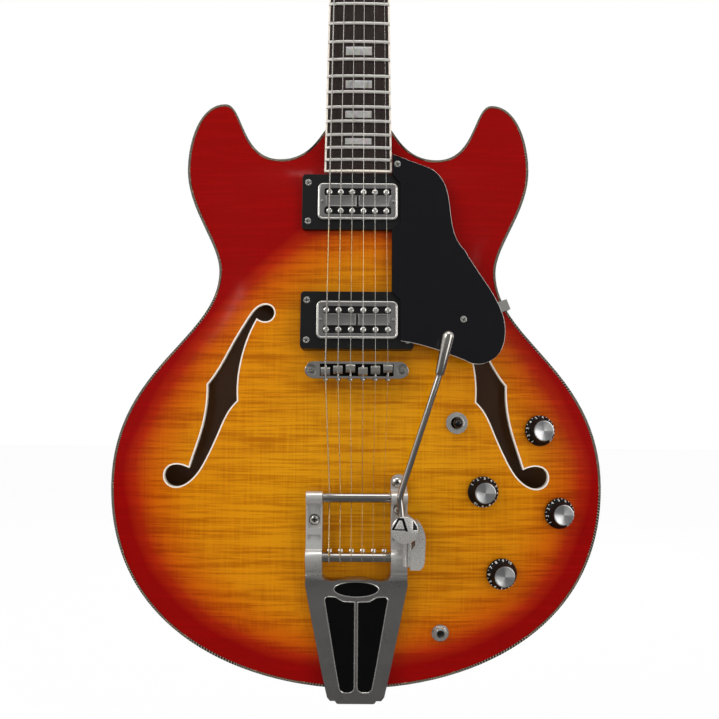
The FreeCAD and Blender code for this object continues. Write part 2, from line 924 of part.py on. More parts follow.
def head_outline():
    base = size.head_base_width / 2
    shoulder = size.head_shoulder_width / 2
    top = size.head_top_width / 2
    height = size.head_length
    edges = []
    for side in (1, -1):
        flare = Part.BezierCurve()
        flare.setPoles([Vector(side * base, 0, 0), Vector(side * base, 12, 0),
                        Vector(side * (shoulder - 3), 16, 0), Vector(side * shoulder, 34, 0)])
        crest = Part.BezierCurve()
        crest.setPoles([Vector(side * top, height - 18, 0), Vector(side * top, height - 7, 0),
                        Vector(side * top * 0.55, height - 3, 0), Vector(0, height, 0)])
        rise = Part.LineSegment(Vector(side * shoulder, 34, 0), Vector(side * top, height - 18, 0))
        half = [flare.toShape(), rise.toShape(), crest.toShape()]
        edges += half if side > 0 else half[::-1]
    foot = Part.LineSegment(Vector(-base, 0, 0), Vector(base, 0, 0)).toShape()
    return Part.Wire(edges + [foot])


def truss_channel(gap):
    length = board_end() - 30
    depth = size.truss_rod_depth + gap
    width = size.truss_rod_width + 2 * gap
    return Part.makeBox(width, length, depth, Vector(-width / 2, -length, -depth))


def truss_stem(gap):
    """The rod's round stem between its channel and the opening under the cover."""
    middle = size.truss_nut_radius + 0.5 - size.truss_rod_depth
    return Part.makeCylinder(size.truss_stem_radius + gap, 13 + gap, Vector(0, -1, middle),
                             Vector(0, 1, 0))


def truss_cavity():
    """Opening under the cover where the rod's nut is reached, in the head frame."""
    return rounded_box(11, size.truss_cavity_length, -13.5, 5, 3,
                       (0, size.truss_cavity_length / 2 + 1.5))


def tuner_places():
    """Post centres from the lowest up, first the left row and then the right."""
    return [(side * (size.first_tuner_side + row * size.tuner_splay),
             size.first_tuner_up + row * size.tuner_pitch, side)
            for side in (-1, 1) for row in range(3)]


def build_neck():
    joint_distance = -neck_distance(size.neck_joint_up)
    heel = size.heel_length
    stations = [
        (0, size.neck_depth),
        (joint_distance * 0.5, (size.neck_depth + size.neck_body_depth) / 2),
        (joint_distance - heel, float(size.neck_body_depth)),
    ]
    sections = [neck_section(board_width_at(distance) / 2, depth, distance)
                for distance, depth in stations]
    shaft = Part.makeLoft(sections, True, False)
    deep = [
        (joint_distance - heel, float(size.neck_body_depth)),
        (joint_distance - heel * 0.45, size.neck_body_depth + 4),
        (joint_distance - heel * 0.16, size.heel_depth * 0.84),
        (joint_distance + 4, float(size.heel_depth)),
    ]
    heel_loft = Part.makeLoft([neck_section(board_width_at(distance) / 2, depth, distance)
                               for distance, depth in deep], True, False)
    to_body = body_frame().inverse() * neck_frame()
    below_joint = Part.makeBox(200, 200, 200, Vector(-100, size.neck_joint_up - 200, -150))
    stub = moved(heel_loft, to_body).cut(below_joint)
    tenon = neck_pocket(0)
    over_board = Part.makeBox(200, 400, 60, Vector(-100, -600, 0))
    tenon = tenon.cut(moved(over_board, to_body))
    to_neck = to_body.inverse()

    head_wood = prism(head_outline(), -size.head_veneer - size.head_thickness, -size.head_veneer)
    head_to_neck = neck_frame().inverse() * head_frame()
    head = moved(head_wood, head_to_neck)
    wood = shaft.fuse([moved(stub, to_neck), moved(tenon, to_neck), head, nut_block()])
    before_head = Part.makeBox(200, 300, 60, Vector(-100, 0, -size.head_veneer))
    cuts = [truss_channel(size.seat_gap), truss_stem(size.seat_gap),
            moved(truss_cavity(), head_to_neck),
            moved(before_head, head_to_neck)]
    for x, up, side in tuner_places():
        cuts.append(moved(cylinder(size.bushing_radius, -60, 20, (x, up)), head_to_neck))
    cuts.append(moved(pickup_cavities()[0], to_neck))
    cuts.append(moved(heel_strap_hole(), to_neck))
    cuts += [moved(screw_space(item, 7.0), head_to_neck) for item in cover_screw_frames()]
    piece("neck", wood.cut(cuts).removeSplitter(), neck_frame())

    veneer = prism(head_outline(), -size.head_veneer, 0)
    veneer_cuts = [truss_cavity()]
    veneer_cuts += [cylinder(size.bushing_radius, -60, 20, (x, up)) for x, up, side in tuner_places()]
    veneer_cuts += [screw_space(item, 7.0) for item in cover_screw_frames()]
    piece("headstock_veneer", veneer.cut(veneer_cuts), head_frame())


def neck_distance(up):
    """Neck-frame height of a body-frame height, on the plane of the neck's glue joint."""
    return (up + bridge_line()) / math.cos(math.radians(size.neck_angle))


def nut_block():
    """Wood under the nut, between the shaft and the leaning headstock."""
    half = size.fretboard_nut_width / 2
    sections = [neck_section(half, float(size.neck_depth), 0),
                neck_section(half + 0.4, size.head_thickness + 3.5, -size.nut_length - 6)]
    return Part.makeLoft(sections, True, True)


def build_nut():
    half = size.fretboard_nut_width / 2
    blank = crowned_section(half, -size.nut_length, 0, size.nut_string_height + size.nut_shoulder,
                            size.fretboard_radius)
    blank = Part.Face(blank).extrude(Vector(0, -size.nut_length, 0))
    slots = []
    for index in range(6):
        radius = string_gauge(index) / 2 + size.sliding_gap
        x = string_side(index, size.nut_string_spread)
        height = size.nut_string_height
        slots.append(Part.makeBox(2 * radius, 20, 5, Vector(x - radius, -8, height - radius)))
        slots.append(moved(string_tube(index, size.sliding_gap), neck_frame().inverse()))
    piece("nut", blank.cut(slots), neck_frame())


def build_truss_rod():
    """Two-way rod in its channel, with the nut that the cover hides."""
    middle = size.truss_nut_radius + 0.5 - size.truss_rod_depth
    nut = Part.makeCylinder(size.truss_nut_radius, 9, Vector(0, 7, middle), Vector(0, 1, 0))
    hex_hole = Part.makeCylinder(1.8, 6, Vector(0, 11, middle), Vector(0, 1, 0))
    piece("truss_rod", truss_channel(0).fuse([truss_stem(0), nut]).cut(hex_hole), neck_frame())


def build_truss_cover():
    half = size.cover_width / 2
    length = size.cover_length
    start = Cell(1.0, "1")
    corners = [(half - 3, start), (half, start + 5), (half - 2, length - 12), (half - 7, length),
               (-half + 7, length), (-half + 2, length - 12), (-half, start + 5),
               (-half + 3, start)]
    plate = padded_body("cover_plate", corners, size.cover_thickness)
    spaces = [screw_space(item, 7.0) for item in cover_screw_frames()]
    keep(bored("truss_rod_cover", plate, spaces), "truss_rod_cover", head_frame())


def cover_screw_frames():
    """Screws of the truss rod cover, beside and above the opening, in the head frame."""
    places = ((-8.6, 7.5), (8.6, 7.5), (0, size.cover_length - 5.5))
    return [Placement(Vector(x, up, size.cover_thickness), Rotation()) for x, up in places]


# Tuners, in the head frame

def string_side(index, spread):
    return spread * (index / 5 - 0.5)


def string_gauge(index):
    """Diameters from bass to treble in even ratios."""
    share = index / 5
    return size.bass_gauge * (size.treble_gauge / size.bass_gauge) ** share


def build_tuners():
    back = -size.head_veneer - size.head_thickness
    housings = []
    bushings = []
    for number, (x, up, side) in enumerate(tuner_places(), 1):
        wall = size.housing_wall
        shell = rounded_box(size.housing_width, size.housing_length, back - size.housing_depth, back,
                            3, (x, up))
        hollow = Part.makeBox(size.housing_width - 2 * wall, size.housing_length - 2 * wall,
                              size.housing_depth - 2 * wall,
                              Vector(x - size.housing_width / 2 + wall, up - size.housing_length / 2 + wall,
                                     back - size.housing_depth + wall))
        post_bore = cylinder(size.post_radius + size.sliding_gap, back - wall - 1, back + 1, (x, up))
        middle = back - size.housing_depth / 2
        worm_up = up - size.worm_gear_radius - size.worm_radius - size.moving_gap
        start, end = sorted((x, x + side * 40))
        worm_bore = crosswise(1.6 + size.sliding_gap, start, end, worm_up, middle)
        housings.append(shell.cut([hollow, post_bore, worm_bore]))

        sleeve = cylinder(size.bushing_radius - size.seat_gap, back + 0.3, 0, (x, up))
        flange = cylinder(size.bushing_flange, 0, size.bushing_height, (x, up))
        bore = cylinder(size.post_radius + size.sliding_gap, back - 1, 30, (x, up))
        bushings.append(sleeve.fuse(flange).cut(bore))
        build_post(number, x, up, back, middle)
        build_button(number, x, worm_up, side, middle)
    piece("tuner_housings", housings, head_frame())
    piece("tuner_bushings", bushings, head_frame())


def build_post(number, x, up, back, middle):
    label = f"tuner_post_{number}"
    top = size.post_height
    barrel = cylinder(size.post_radius, middle - 3, top, (x, up))
    waist = Part.makeTorus(size.post_radius + 1.2, 1.6, Vector(x, up, top * 0.56), Vector(0, 0, 1))
    string_hole = crosswise(0.8, x - 5, x + 5, up, top * 0.56)
    gear = cylinder(size.worm_gear_radius, middle - 1.6, middle + 1.6, (x, up))
    piece(label, barrel.cut([waist, string_hole]).fuse(gear), head_frame())


def build_button(number, x, worm_up, side, middle):
    label = f"tuner_button_{number}"
    reach = size.button_reach
    inner = x - side * (size.housing_width / 2 - size.housing_wall - 0.4)
    start, end = sorted((inner, x + side * reach))
    shaft = crosswise(1.6, start, end, worm_up, middle)
    worm_start, worm_end = sorted((x - side * 5.5, x + side * 5.5))
    worm = crosswise(size.worm_radius, worm_start, worm_end, worm_up, middle)
    width = size.button_width
    low, high = sorted((x + side * (reach - 3), x + side * (reach - 3 + width)))
    paddle = Part.makeBox(high - low, size.button_length, size.button_thickness,
                          Vector(low, worm_up - size.button_length / 2,
                                 middle - size.button_thickness / 2))
    paddle = paddle.makeFillet(3.4, paddle.Edges)
    piece(label, shaft.fuse([worm, paddle]), head_frame())


# Pickups, rings and pickguard

def ring_frame(up):
    """Frame on the ring plane above a height of the body, in the body frame."""
    plane = ring_plane()
    distance = (up - plane.Base.y) / math.cos(plane.Rotation.Angle)
    return plane * Placement(Vector(0, distance, 0), Rotation())


def screw(frame, length=None):
    """A small countersunk wood screw whose head rests on the frame's plane."""
    length = length or float(size.small_screw_length)
    radius = size.small_screw_radius
    head = Part.makeCone(radius, size.small_screw_head, 1.4, Vector(0, 0, -1.4))
    dome = cylinder(size.small_screw_head, 0, 0.5)
    shank = cylinder(radius, -length, -1.4)
    slot = Part.makeBox(6, 0.7, 0.9, Vector(-3, -0.35, -0.3))
    cross = Part.makeBox(0.7, 3.4, 0.9, Vector(-0.35, -1.7, -0.3))
    return moved(head.fuse([dome, shank]).cut([slot, cross]), frame)


def screw_space(frame, length=None):
    """Hole and countersink that take a small screw."""
    length = length or float(size.small_screw_length)
    gap = size.sliding_gap
    radius = size.small_screw_radius + gap
    head = Part.makeCone(radius, size.small_screw_head + gap, 1.4, Vector(0, 0, -1.4))
    mouth = cylinder(size.small_screw_head + gap, 0, 3)
    return moved(head.fuse([mouth, cylinder(radius, -length - 0.5, 0)]), frame)


def ring_screw_frames(up):
    """Four screws of a ring, sunk enough to pass under the pickguard."""
    sunk = -size.guard_gap
    return [ring_frame(up) * Placement(Vector(side * size.ring_screw_side, row * size.ring_screw_up,
                                              sunk), Rotation())
            for side in (-1, 1) for row in (-1, 1)]


def build_pickups(top_face):
    under = top_face.extrude(Vector(0, 0, -60))
    rings = []
    screws = []
    covers = []
    bobbins = []
    poles = []
    bases = []
    pitches = {size.neck_ring_up: size.neck_pole_pitch, size.bridge_ring_up: size.bridge_pole_pitch}
    for up, pitch in pitches.items():
        frame = ring_frame(up)
        frames = ring_screw_frames(up)
        gap = size.seat_gap * 2
        ring = rounded_box(size.ring_width, size.ring_length, -25, 0, size.ring_corner)
        window = rounded_box(size.cover_side + 2 * gap, size.cover_up + 2 * gap, -30, 5, 4)
        ring = moved(ring.cut(window), frame).cut([under] + [screw_space(item) for item in frames])
        rings.append(ring)
        screws += [screw(item) for item in frames]

        rise = size.cover_rise
        shell = rounded_box(size.cover_side, size.cover_up, rise - size.pickup_depth, rise, 4)
        shell = shell.makeFillet(1.2, [edge for edge in shell.Edges
                                       if edge.CenterOfMass.z > rise - 0.01])
        wall = size.cover_wall
        hollow = rounded_box(size.cover_side - 2 * wall, size.cover_up - 2 * wall,
                             rise - size.pickup_depth - 1, rise - size.slot_depth, 3)
        rows = [side * size.slot_row_pitch / 2 for side in (-1, 1)]
        slots = [rounded_box(size.slot_side, size.slot_up, rise - 3, rise + 1, 2, (0, row))
                 for row in rows]
        covers.append(moved(shell.cut([hollow] + slots), frame))
        bottom = rise - size.pickup_depth
        core = rounded_box(size.cover_side - 2 * wall - 0.2, size.cover_up - 2 * wall - 0.2,
                           bottom + 1.2, rise - size.slot_depth - 0.05, 2.9)
        holes = []
        for row in rows:
            for index in range(6):
                x = string_side(index, float(pitch) * 5)
                head = cylinder(size.pole_radius, rise - size.slot_depth, rise - 0.2, (x, row))
                stem = cylinder(1.2, bottom + 2, rise - size.slot_depth, (x, row))
                slot = Part.makeBox(6, 0.8, 1, Vector(x - 3, row - 0.4, rise - 0.7))
                poles.append(moved(head.fuse(stem).cut(slot), frame))
                holes.append(cylinder(1.2 + size.sliding_gap, bottom + 1.5, rise, (x, row)))
        bobbins.append(moved(core.cut(holes), frame))
        base = rounded_box(size.cover_side - 2 * wall - 0.2, size.cover_up - 2 * wall - 0.2,
                           bottom, bottom + 1.2, 2.9)
        bases.append(moved(base, frame))
    piece("pickup_rings", rings, body_frame())
    piece("pickup_covers", covers, body_frame())
    piece("pickup_bobbins", bobbins, body_frame())
    piece("pickup_pole_screws", poles, body_frame())
    piece("pickup_baseplates", bases, body_frame())
    return screws


def guard_wire():
    """Outline of the pickguard on the ring plane, seen from the front."""
    corners = [(28.4, 181.3), (61.2, 168.6), (72.1, 154.5), (76.8, 126.3), (87.7, 99.8),
               (97.0, 84.2), (112.4, 59.4), (118.5, 43.9), (119.2, 28.5), (113.9, 14.5),
               (101.5, 6.8), (87.7, 9.0), (61.5, 18.8), (44.5, 23.3), (35.0, 24.8)]
    left = [(35.0, 57.9), (28.0, 65.3), (28.0, 116.9), (35.0, 123.0), (35.0, 156.6),
            (28.4, 163.9)]
    lowest = corners[-1]
    outer = [
        Part.LineSegment(Vector(*corners[0], 0), Vector(*corners[1], 0)).toShape(),
        spline(corners[1:5]),
        spline(corners[4:8]),
        spline(corners[7:12]),
        spline(corners[11:]),
    ]
    points = [lowest] + left + [corners[0]]
    inner = [Part.LineSegment(Vector(*a, 0), Vector(*b, 0)).toShape()
             for a, b in zip(points, points[1:])]
    return Part.Wire(outer + inner)


def guard_frame():
    """Frame of the guard's underside; its xy follow the body frame's zero."""
    return ring_frame(0) * Placement(Vector(0, 0, size.guard_gap), Rotation())


def guard_screw_places():
    return [(32.7, 172.6), (86.1, 42.6)]


def guard_screw_frames():
    return [guard_frame() * Placement(Vector(x, up, size.guard_thickness), Rotation())
            for x, up in guard_screw_places()]


def build_pickguard():
    plate = prism(guard_wire(), 0, size.guard_thickness)
    frames = guard_screw_frames()
    plate = moved(plate, guard_frame()).cut([screw_space(item) for item in frames])
    piece("pickguard", plate, body_frame())
    return [screw(frames[0], 7.0), screw(frames[1], 5.0)]


def bracket_edge_frame():
    """Where the bracket passes over the side at the waist, with x outward."""
    outer_x = width_at(outline_widths(), size.guard_foot_up) + 1.0
    return Placement(Vector(outer_x, size.guard_foot_up, 0), Rotation(Vector(0, 0, 1), 22.0))


def bracket_screw_frame():
    """Frame of the screw through the bracket's foot into the side."""
    outward = Placement(Vector(2, 0, -18), Rotation(Vector(0, 1, 0), 90))
    return bracket_edge_frame() * outward


def build_guard_bracket():
    """A bent strap from under the guard, over the edge, down to the side at the waist."""
    frame = guard_frame()
    edge = bracket_edge_frame()
    strap = float(size.guard_strap)
    lift = frame.multVec(edge.Base).z - 0.9
    side = polygon([(-44, 0, lift), (-15, 0, lift), (2, 0, 5), (2, 0, -24), (2 - strap, 0, -24),
                    (2 - strap, 0, 4.2), (-15.8, 0, lift - strap), (-44, 0, lift - strap)])
    face = Part.Face(side)
    face.translate(Vector(0, -4.5, 0))
    strip = moved(face.extrude(Vector(0, 9, 0)), edge)
    x, up = guard_screw_places()[1]
    boss = moved(cylinder(4.2, -4.0, -size.seat_gap, (x, up)), frame)
    bracket = strip.fuse(boss)
    spaces = [screw_space(item, 5.0) for item in guard_screw_frames()]
    spaces.append(screw_space(bracket_screw_frame(), 8.0))
    piece("pickguard_bracket", bracket.cut(spaces), body_frame())
    return screw(bracket_screw_frame(), 8.0)


# Bridge

def stud_places():
    return [(-size.stud_spacing / 2, 1.0), (size.stud_spacing / 2, 1.0)]


def stud_holes():
    return [cylinder(size.insert_radius, -size.stud_depth, 40, place) for place in stud_places()]


def saddle_line():
    """Height over the rim plane of the strings' underside at the saddles."""
    return string_plane().Base.z - size.bass_gauge / 2


def string_groove(index):
    """Straight runs of space on both sides of a string's bend over its saddle."""
    to_body = body_frame().inverse()
    before, seat, after = [to_body.multVec(point) for point in string_route(index)[1:4]]
    radius = string_gauge(index) / 2 + size.saddle_gap
    runs = [Part.makeSphere(radius, seat)]
    for end in (before, after):
        runs.append(Part.makeCylinder(radius, 12, seat, end - seat))
    return runs


def build_bridge():
    top = saddle_line() - size.saddle_top
    bottom = top - size.bridge_height
    wheel_top = bottom - 0.05
    wheel_bottom = wheel_top - size.wheel_height
    studs = []
    wheels = []
    gap = size.sliding_gap
    arch = float(size.top_arch)
    for x, up in stud_places():
        insert = cylinder(size.insert_radius - gap, -size.stud_depth, arch, (x, up))
        lip = cylinder(size.insert_radius + 1.2, arch, arch + 1, (x, up))
        bore = cylinder(size.stud_radius + gap, -size.stud_depth + 1, arch + 3, (x, up))
        studs.append(insert.fuse(lip).cut(bore))
        stud = cylinder(size.stud_radius, -size.stud_depth + 2, top - 0.6, (x, up))
        slot = Part.makeBox(8, 0.9, 1.2, Vector(x - 4, up - 0.45, top - 1.4))
        studs.append(stud.cut(slot))
        wheel = cylinder(size.wheel_radius, wheel_bottom, wheel_top, (x, up))
        wheels.append(wheel.cut(cylinder(size.stud_radius + gap, wheel_bottom - 1, wheel_top + 1,
                                         (x, up))))
    piece("bridge_studs", studs, body_frame())
    piece("bridge_thumbwheels", wheels, body_frame())

    width = size.bridge_width
    length = size.bridge_length
    beam = rounded_box(length, width, bottom, top, width / 2 - 0.05, (0, 1.0))
    channel = Part.makeBox(6 * 10.0 - 1.0, width - 2 * size.bridge_wall, size.bridge_height - 3,
                           Vector(-29.5, 1.0 - width / 2 + size.bridge_wall, bottom + 3))
    holes = [cylinder(size.stud_radius + gap, bottom - 1, top + 1, place) for place in stud_places()]
    bowls = [cylinder(size.stud_radius + 2.4, top - 2.6, top + 1, place) for place in stud_places()]
    pitch = size.bridge_string_spread / 5
    screw_holes = []
    saddles = []
    for index in range(6):
        x = string_side(index, size.bridge_string_spread)
        shift = 1.0 + 1.2 * (index % 3 - 1)
        seat = string_plane().Base.z - size.sliding_gap
        block = Part.makeBox(size.saddle_width, size.saddle_length, seat + 0.3 - bottom - 3.1,
                             Vector(x - size.saddle_width / 2, shift - size.saddle_length / 2,
                                    bottom + 3.1))
        ridge = block.makeChamfer(1.2, [edge for edge in block.Edges
                                        if edge.CenterOfMass.z > seat + 0.29
                                        and abs(edge.CenterOfMass.y - shift) > 1])
        groove = string_groove(index)
        screw_out = bottom + 5.4
        clear = Part.makeCylinder(size.saddle_screw_radius + gap, 30, Vector(x, -14, screw_out),
                                  Vector(0, 1, 0))
        saddles.append(ridge.cut([clear] + groove))
        stem = Part.makeCylinder(size.saddle_screw_radius, width - size.bridge_wall,
                                 Vector(x, 1.0 - width / 2, screw_out), Vector(0, 1, 0))
        head = Part.makeCylinder(2.2, 1.6, Vector(x, 1.0 - width / 2 - 1.65, screw_out),
                                 Vector(0, 1, 0))
        saddles.append(stem.fuse(head))
        screw_holes.append(clear)
    piece("bridge_body", beam.cut([channel] + holes + bowls + screw_holes), body_frame())
    piece("bridge_saddles", saddles, body_frame())


# Vibrato tailpiece, in the body frame

def vibrato_screw_places():
    side = size.vibrato_side
    across = (size.vibrato_half + size.vibrato_window_half) / 2
    return [(side - across, -119.0), (side + across, -110.5)]


def vibrato_screw_holes():
    return [cylinder(2.1, -16, 40, place) for place in vibrato_screw_places() + [tongue_screw_place()]]


def vibrato_front():
    """Front outline of the casting, from the arms down to the tab over the tail."""
    middle = float(size.vibrato_side)
    half = float(size.vibrato_half)
    foot = float(size.vibrato_foot_half)
    tab = float(size.vibrato_tab_half)
    end = float(size.vibrato_foot_up)
    right = [(half, size.vibrato_arm_top), (half, size.vibrato_shoulder_up + 3),
             (half + 0.8, size.vibrato_shoulder_up), (foot, end), (foot - 2.4, end - 3.4),
             (tab + 2.6, end - 3.4), (tab + 1, end - 6.4), (tab, size.vibrato_tab_up)]
    points = [(middle + x, up, 0) for x, up in right]
    points += [(middle - x, up, 0) for x, up in reversed(right)]
    return polygon(points)


def vibrato_window():
    """The open space between the arms, closed below by a low arch."""
    middle = float(size.vibrato_side)
    half = float(size.vibrato_window_half)
    low = float(size.vibrato_window_up)
    top = size.vibrato_arm_top + 5
    left = Vector(middle - half, low + 7, 0)
    right = Vector(middle + half, low + 7, 0)
    edges = [
        Part.LineSegment(Vector(middle + half, top, 0), Vector(middle - half, top, 0)).toShape(),
        Part.LineSegment(Vector(middle - half, top, 0), left).toShape(),
        spline([(left.x, left.y), (middle - half + 2.4, low + 2), (middle - half + 7, low),
                (middle - half + 12, low + 0.5), (middle, low + 2.6), (middle + half - 12, low + 0.5),
                (middle + half - 7, low), (middle + half - 2.4, low + 2), (right.x, right.y)]),
        Part.LineSegment(right, Vector(middle + half, top, 0)).toShape(),
    ]
    return Part.Wire(edges)


def vibrato_profile():
    """Side profile of the casting: high arms, thin plate, and the tab bent over the tail."""
    top = float(size.axle_out)
    thick = float(size.vibrato_plate_thickness)
    tail = -float(size.tail_down)
    arch = float(size.top_arch)
    plate_top = 18.0
    foot_top = 8.0
    arm_low = arch + 0.4
    points = [
        (size.vibrato_arm_top, top - 1), (size.bar_up - 8, top - 1.6), (size.axle_up + 12, top - 0.8),
        (size.axle_up - 5, top + 3.2), (size.axle_up - 12, top - 1.4), (size.ridge_up + 2.4, top - 1.2),
        (size.ridge_up + 1.6, top), (size.ridge_up - 1.8, top), (size.ridge_up - 2.6, plate_top + 1.2),
        (size.vibrato_plate_up, plate_top), (-205, plate_top - 2.5), (-235, foot_top + 4.5),
        (size.vibrato_plate_end, foot_top - 0.5), (size.vibrato_tab_up + 2, foot_top - 6),
        (size.vibrato_tab_up, -2), (size.vibrato_tab_up, -8), (size.tab_wall_up, -11),
        (size.tab_wall_up, size.tab_wall_out), (tail - 3.0, size.tab_wall_out), (tail - 3.0, 0),
        (tail, 2.2), (-235, foot_top + 4.5 - thick), (-205, plate_top - 2.5 - thick),
        (size.vibrato_plate_up + 3, arm_low + 1.5), (size.axle_up - 12, arm_low), (size.bar_up - 4, arm_low),
        (size.vibrato_arm_top, arm_low + 5),
    ]
    return polygon([(0, up, out) for up, out in points])


def arm_recesses():
    """Sunken fields in the front of both arms, a long one round the screw and a short one."""
    across = (size.vibrato_half + size.vibrato_window_half) / 2
    fields = []
    for side in (-1, 1):
        for up, length, depth in ((size.recess_up, size.recess_length, size.recess_depth),
                                  (size.lower_recess_up, size.lower_recess_length, 1.2)):
            fields.append(rounded_box(size.recess_width, length, size.axle_out - 1.4 - depth, 60, 1.4,
                                      (size.vibrato_side + side * across, up)))
    return fields


def inset_wires():
    """The dark oval and the two wedge panels on the plate."""
    middle = float(size.vibrato_side)
    oval = Part.Ellipse(Vector(middle, -174.6, 0), 18, 6.2).toShape()
    wires = [Part.Wire(oval)]
    corners = [(1.1, -220.0), (1.1, -184.9), (10.6, -184.5), (16.5, -181.0), (26.0, -180.4),
               (12.8, -260.5), (1.1, -260.5), (1.1, -220.0)]
    for side in (1, -1):
        points = [Vector(middle + side * x, up, 0) for x, up in corners]
        wires.append(Part.Wire(bent_path(points, [0.8, 6.0, 6.0, 3.0, 5.2, 5.2])))
    return wires


def cap_marks(centre):
    """Shallow marks in the cap's upper half: a pointed arch on a bar, and a blade beside it."""
    arch = [(-10.4, 0.2), (-5.2, 9.4), (-0.7, 9.4), (2.4, -0.5), (0.5, -0.5), (0.2, 0.2)]
    opening = [(-8.0, 1.2), (-4.2, 7.6), (-2.2, 7.6), (-0.3, 1.2)]
    blade = [(6.2, 0.3), (9.9, 0.3), (9.3, 3.2), (6.4, 7.4)]
    marks = []
    for corners in (arch, opening, blade):
        wire = polygon([(centre[0] + x, centre[1] + up, 0) for x, up in corners])
        marks.append(prism(wire, 0, 80))
    return [marks[0].cut(marks[1]), marks[2]]


def tongue_screw_place():
    return (33.1, -89.3)


def casting_tongue():
    """The right arm's round-ended tongue, screwed to the top above the tension bar."""
    width = size.vibrato_half - size.vibrato_window_half
    middle = size.vibrato_side + (size.vibrato_half + size.vibrato_window_half) / 2
    length = 29.0
    low = size.top_arch + 0.4
    return rounded_box(width, length, low, low + size.tongue_thickness, 6.4,
                       (middle, size.tongue_up - length / 2))


def build_vibrato():
    front = prism(vibrato_front(), -60, 60).cut(prism(vibrato_window(), -70, 70))
    side = Part.Face(vibrato_profile())
    side.translate(Vector(-60, 0, 0))
    casting = front.common(side.extrude(Vector(130, 0, 0)))
    middle = float(size.vibrato_side)
    left = middle - size.vibrato_half
    right = middle + size.vibrato_half
    boss = crosswise(size.bar_radius + 1.0, left, middle - size.vibrato_window_half,
                     size.bar_up, size.bar_out)
    boss_right = crosswise(size.bar_radius + 1.0, middle + size.vibrato_window_half, right,
                           size.bar_up, size.bar_out)
    axle_bosses = [crosswise(size.vibrato_boss_radius, start, end, size.axle_up, size.axle_out)
                   for start, end in ((left, middle - size.vibrato_window_half),
                                      (middle + size.vibrato_window_half, right))]
    cup_place = (float(size.dome_side), float(size.dome_up))
    cup = cylinder(size.spring_radius + size.spring_wire + 2.0, size.top_arch + 0.6, 16.6, cup_place)
    seat = cylinder(size.spring_radius + size.spring_wire + 0.6, size.spring_seat - 0.2, 40,
                    cup_place)
    bar_bore = crosswise(1.6 + size.sliding_gap, left + 3, right - 3, size.bar_up, size.bar_out)
    bar_space = crosswise(size.bar_radius + 0.3, middle - size.vibrato_window_half - 0.01,
                          middle + size.vibrato_window_half + 0.01, size.bar_up, size.bar_out)
    axle_bore = crosswise(size.axle_radius + size.sliding_gap, left + 4, right + 30,
                          size.axle_up, size.axle_out)
    casting = casting.fuse([boss, boss_right, cup, casting_tongue()] + axle_bosses)
    wells = [cylinder(4.6, size.top_arch + 6, 60, place) for place in vibrato_screw_places()]
    wells += arm_recesses()
    panels = [prism(wire, 0, 60) for wire in inset_wires()]
    lowered = moved(casting, Placement(Vector(0, 0, -size.inset_depth), Rotation()))
    insets = [casting.common(panel).cut(lowered) for panel in panels]
    cuts = [bar_bore, bar_space, axle_bore, seat] + wells + vibrato_screw_holes() + insets
    frame = casting.cut(cuts + [tail_screw_hole()])
    piece("vibrato_frame", frame, body_frame())
    piece("vibrato_insets", insets, body_frame())

    bar = crosswise(size.bar_radius, middle - size.vibrato_window_half + 0.4,
                    middle + size.vibrato_window_half - 0.4, size.bar_up, size.bar_out)
    journal = crosswise(1.6, left + 3.4, right - 3.4, size.bar_up, size.bar_out)
    piece("tension_bar", bar.fuse(journal), body_frame())
    screws = []
    seats = [(place, size.top_arch + 6) for place in vibrato_screw_places()]
    seats.append((tongue_screw_place(), size.top_arch + 0.4 + size.tongue_thickness))
    for (x, up), seat_out in seats:
        head = Part.makeSphere(5.6, Vector(x, up, seat_out - 2.4)).common(
            cylinder(4.2, seat_out + 0.05, 60, (x, up)))
        shank = cylinder(2.0, -14, seat_out + 0.3, (x, up))
        cross = [Part.makeBox(4, 0.9, 2, Vector(x - 2, up - 0.45, seat_out + 2.0)),
                 Part.makeBox(0.9, 4, 2, Vector(x - 0.45, up - 2, seat_out + 2.0))]
        screws.append(head.fuse(shank).cut(cross))
    piece("vibrato_screws", screws, body_frame())
    build_rocker(left, right, middle)


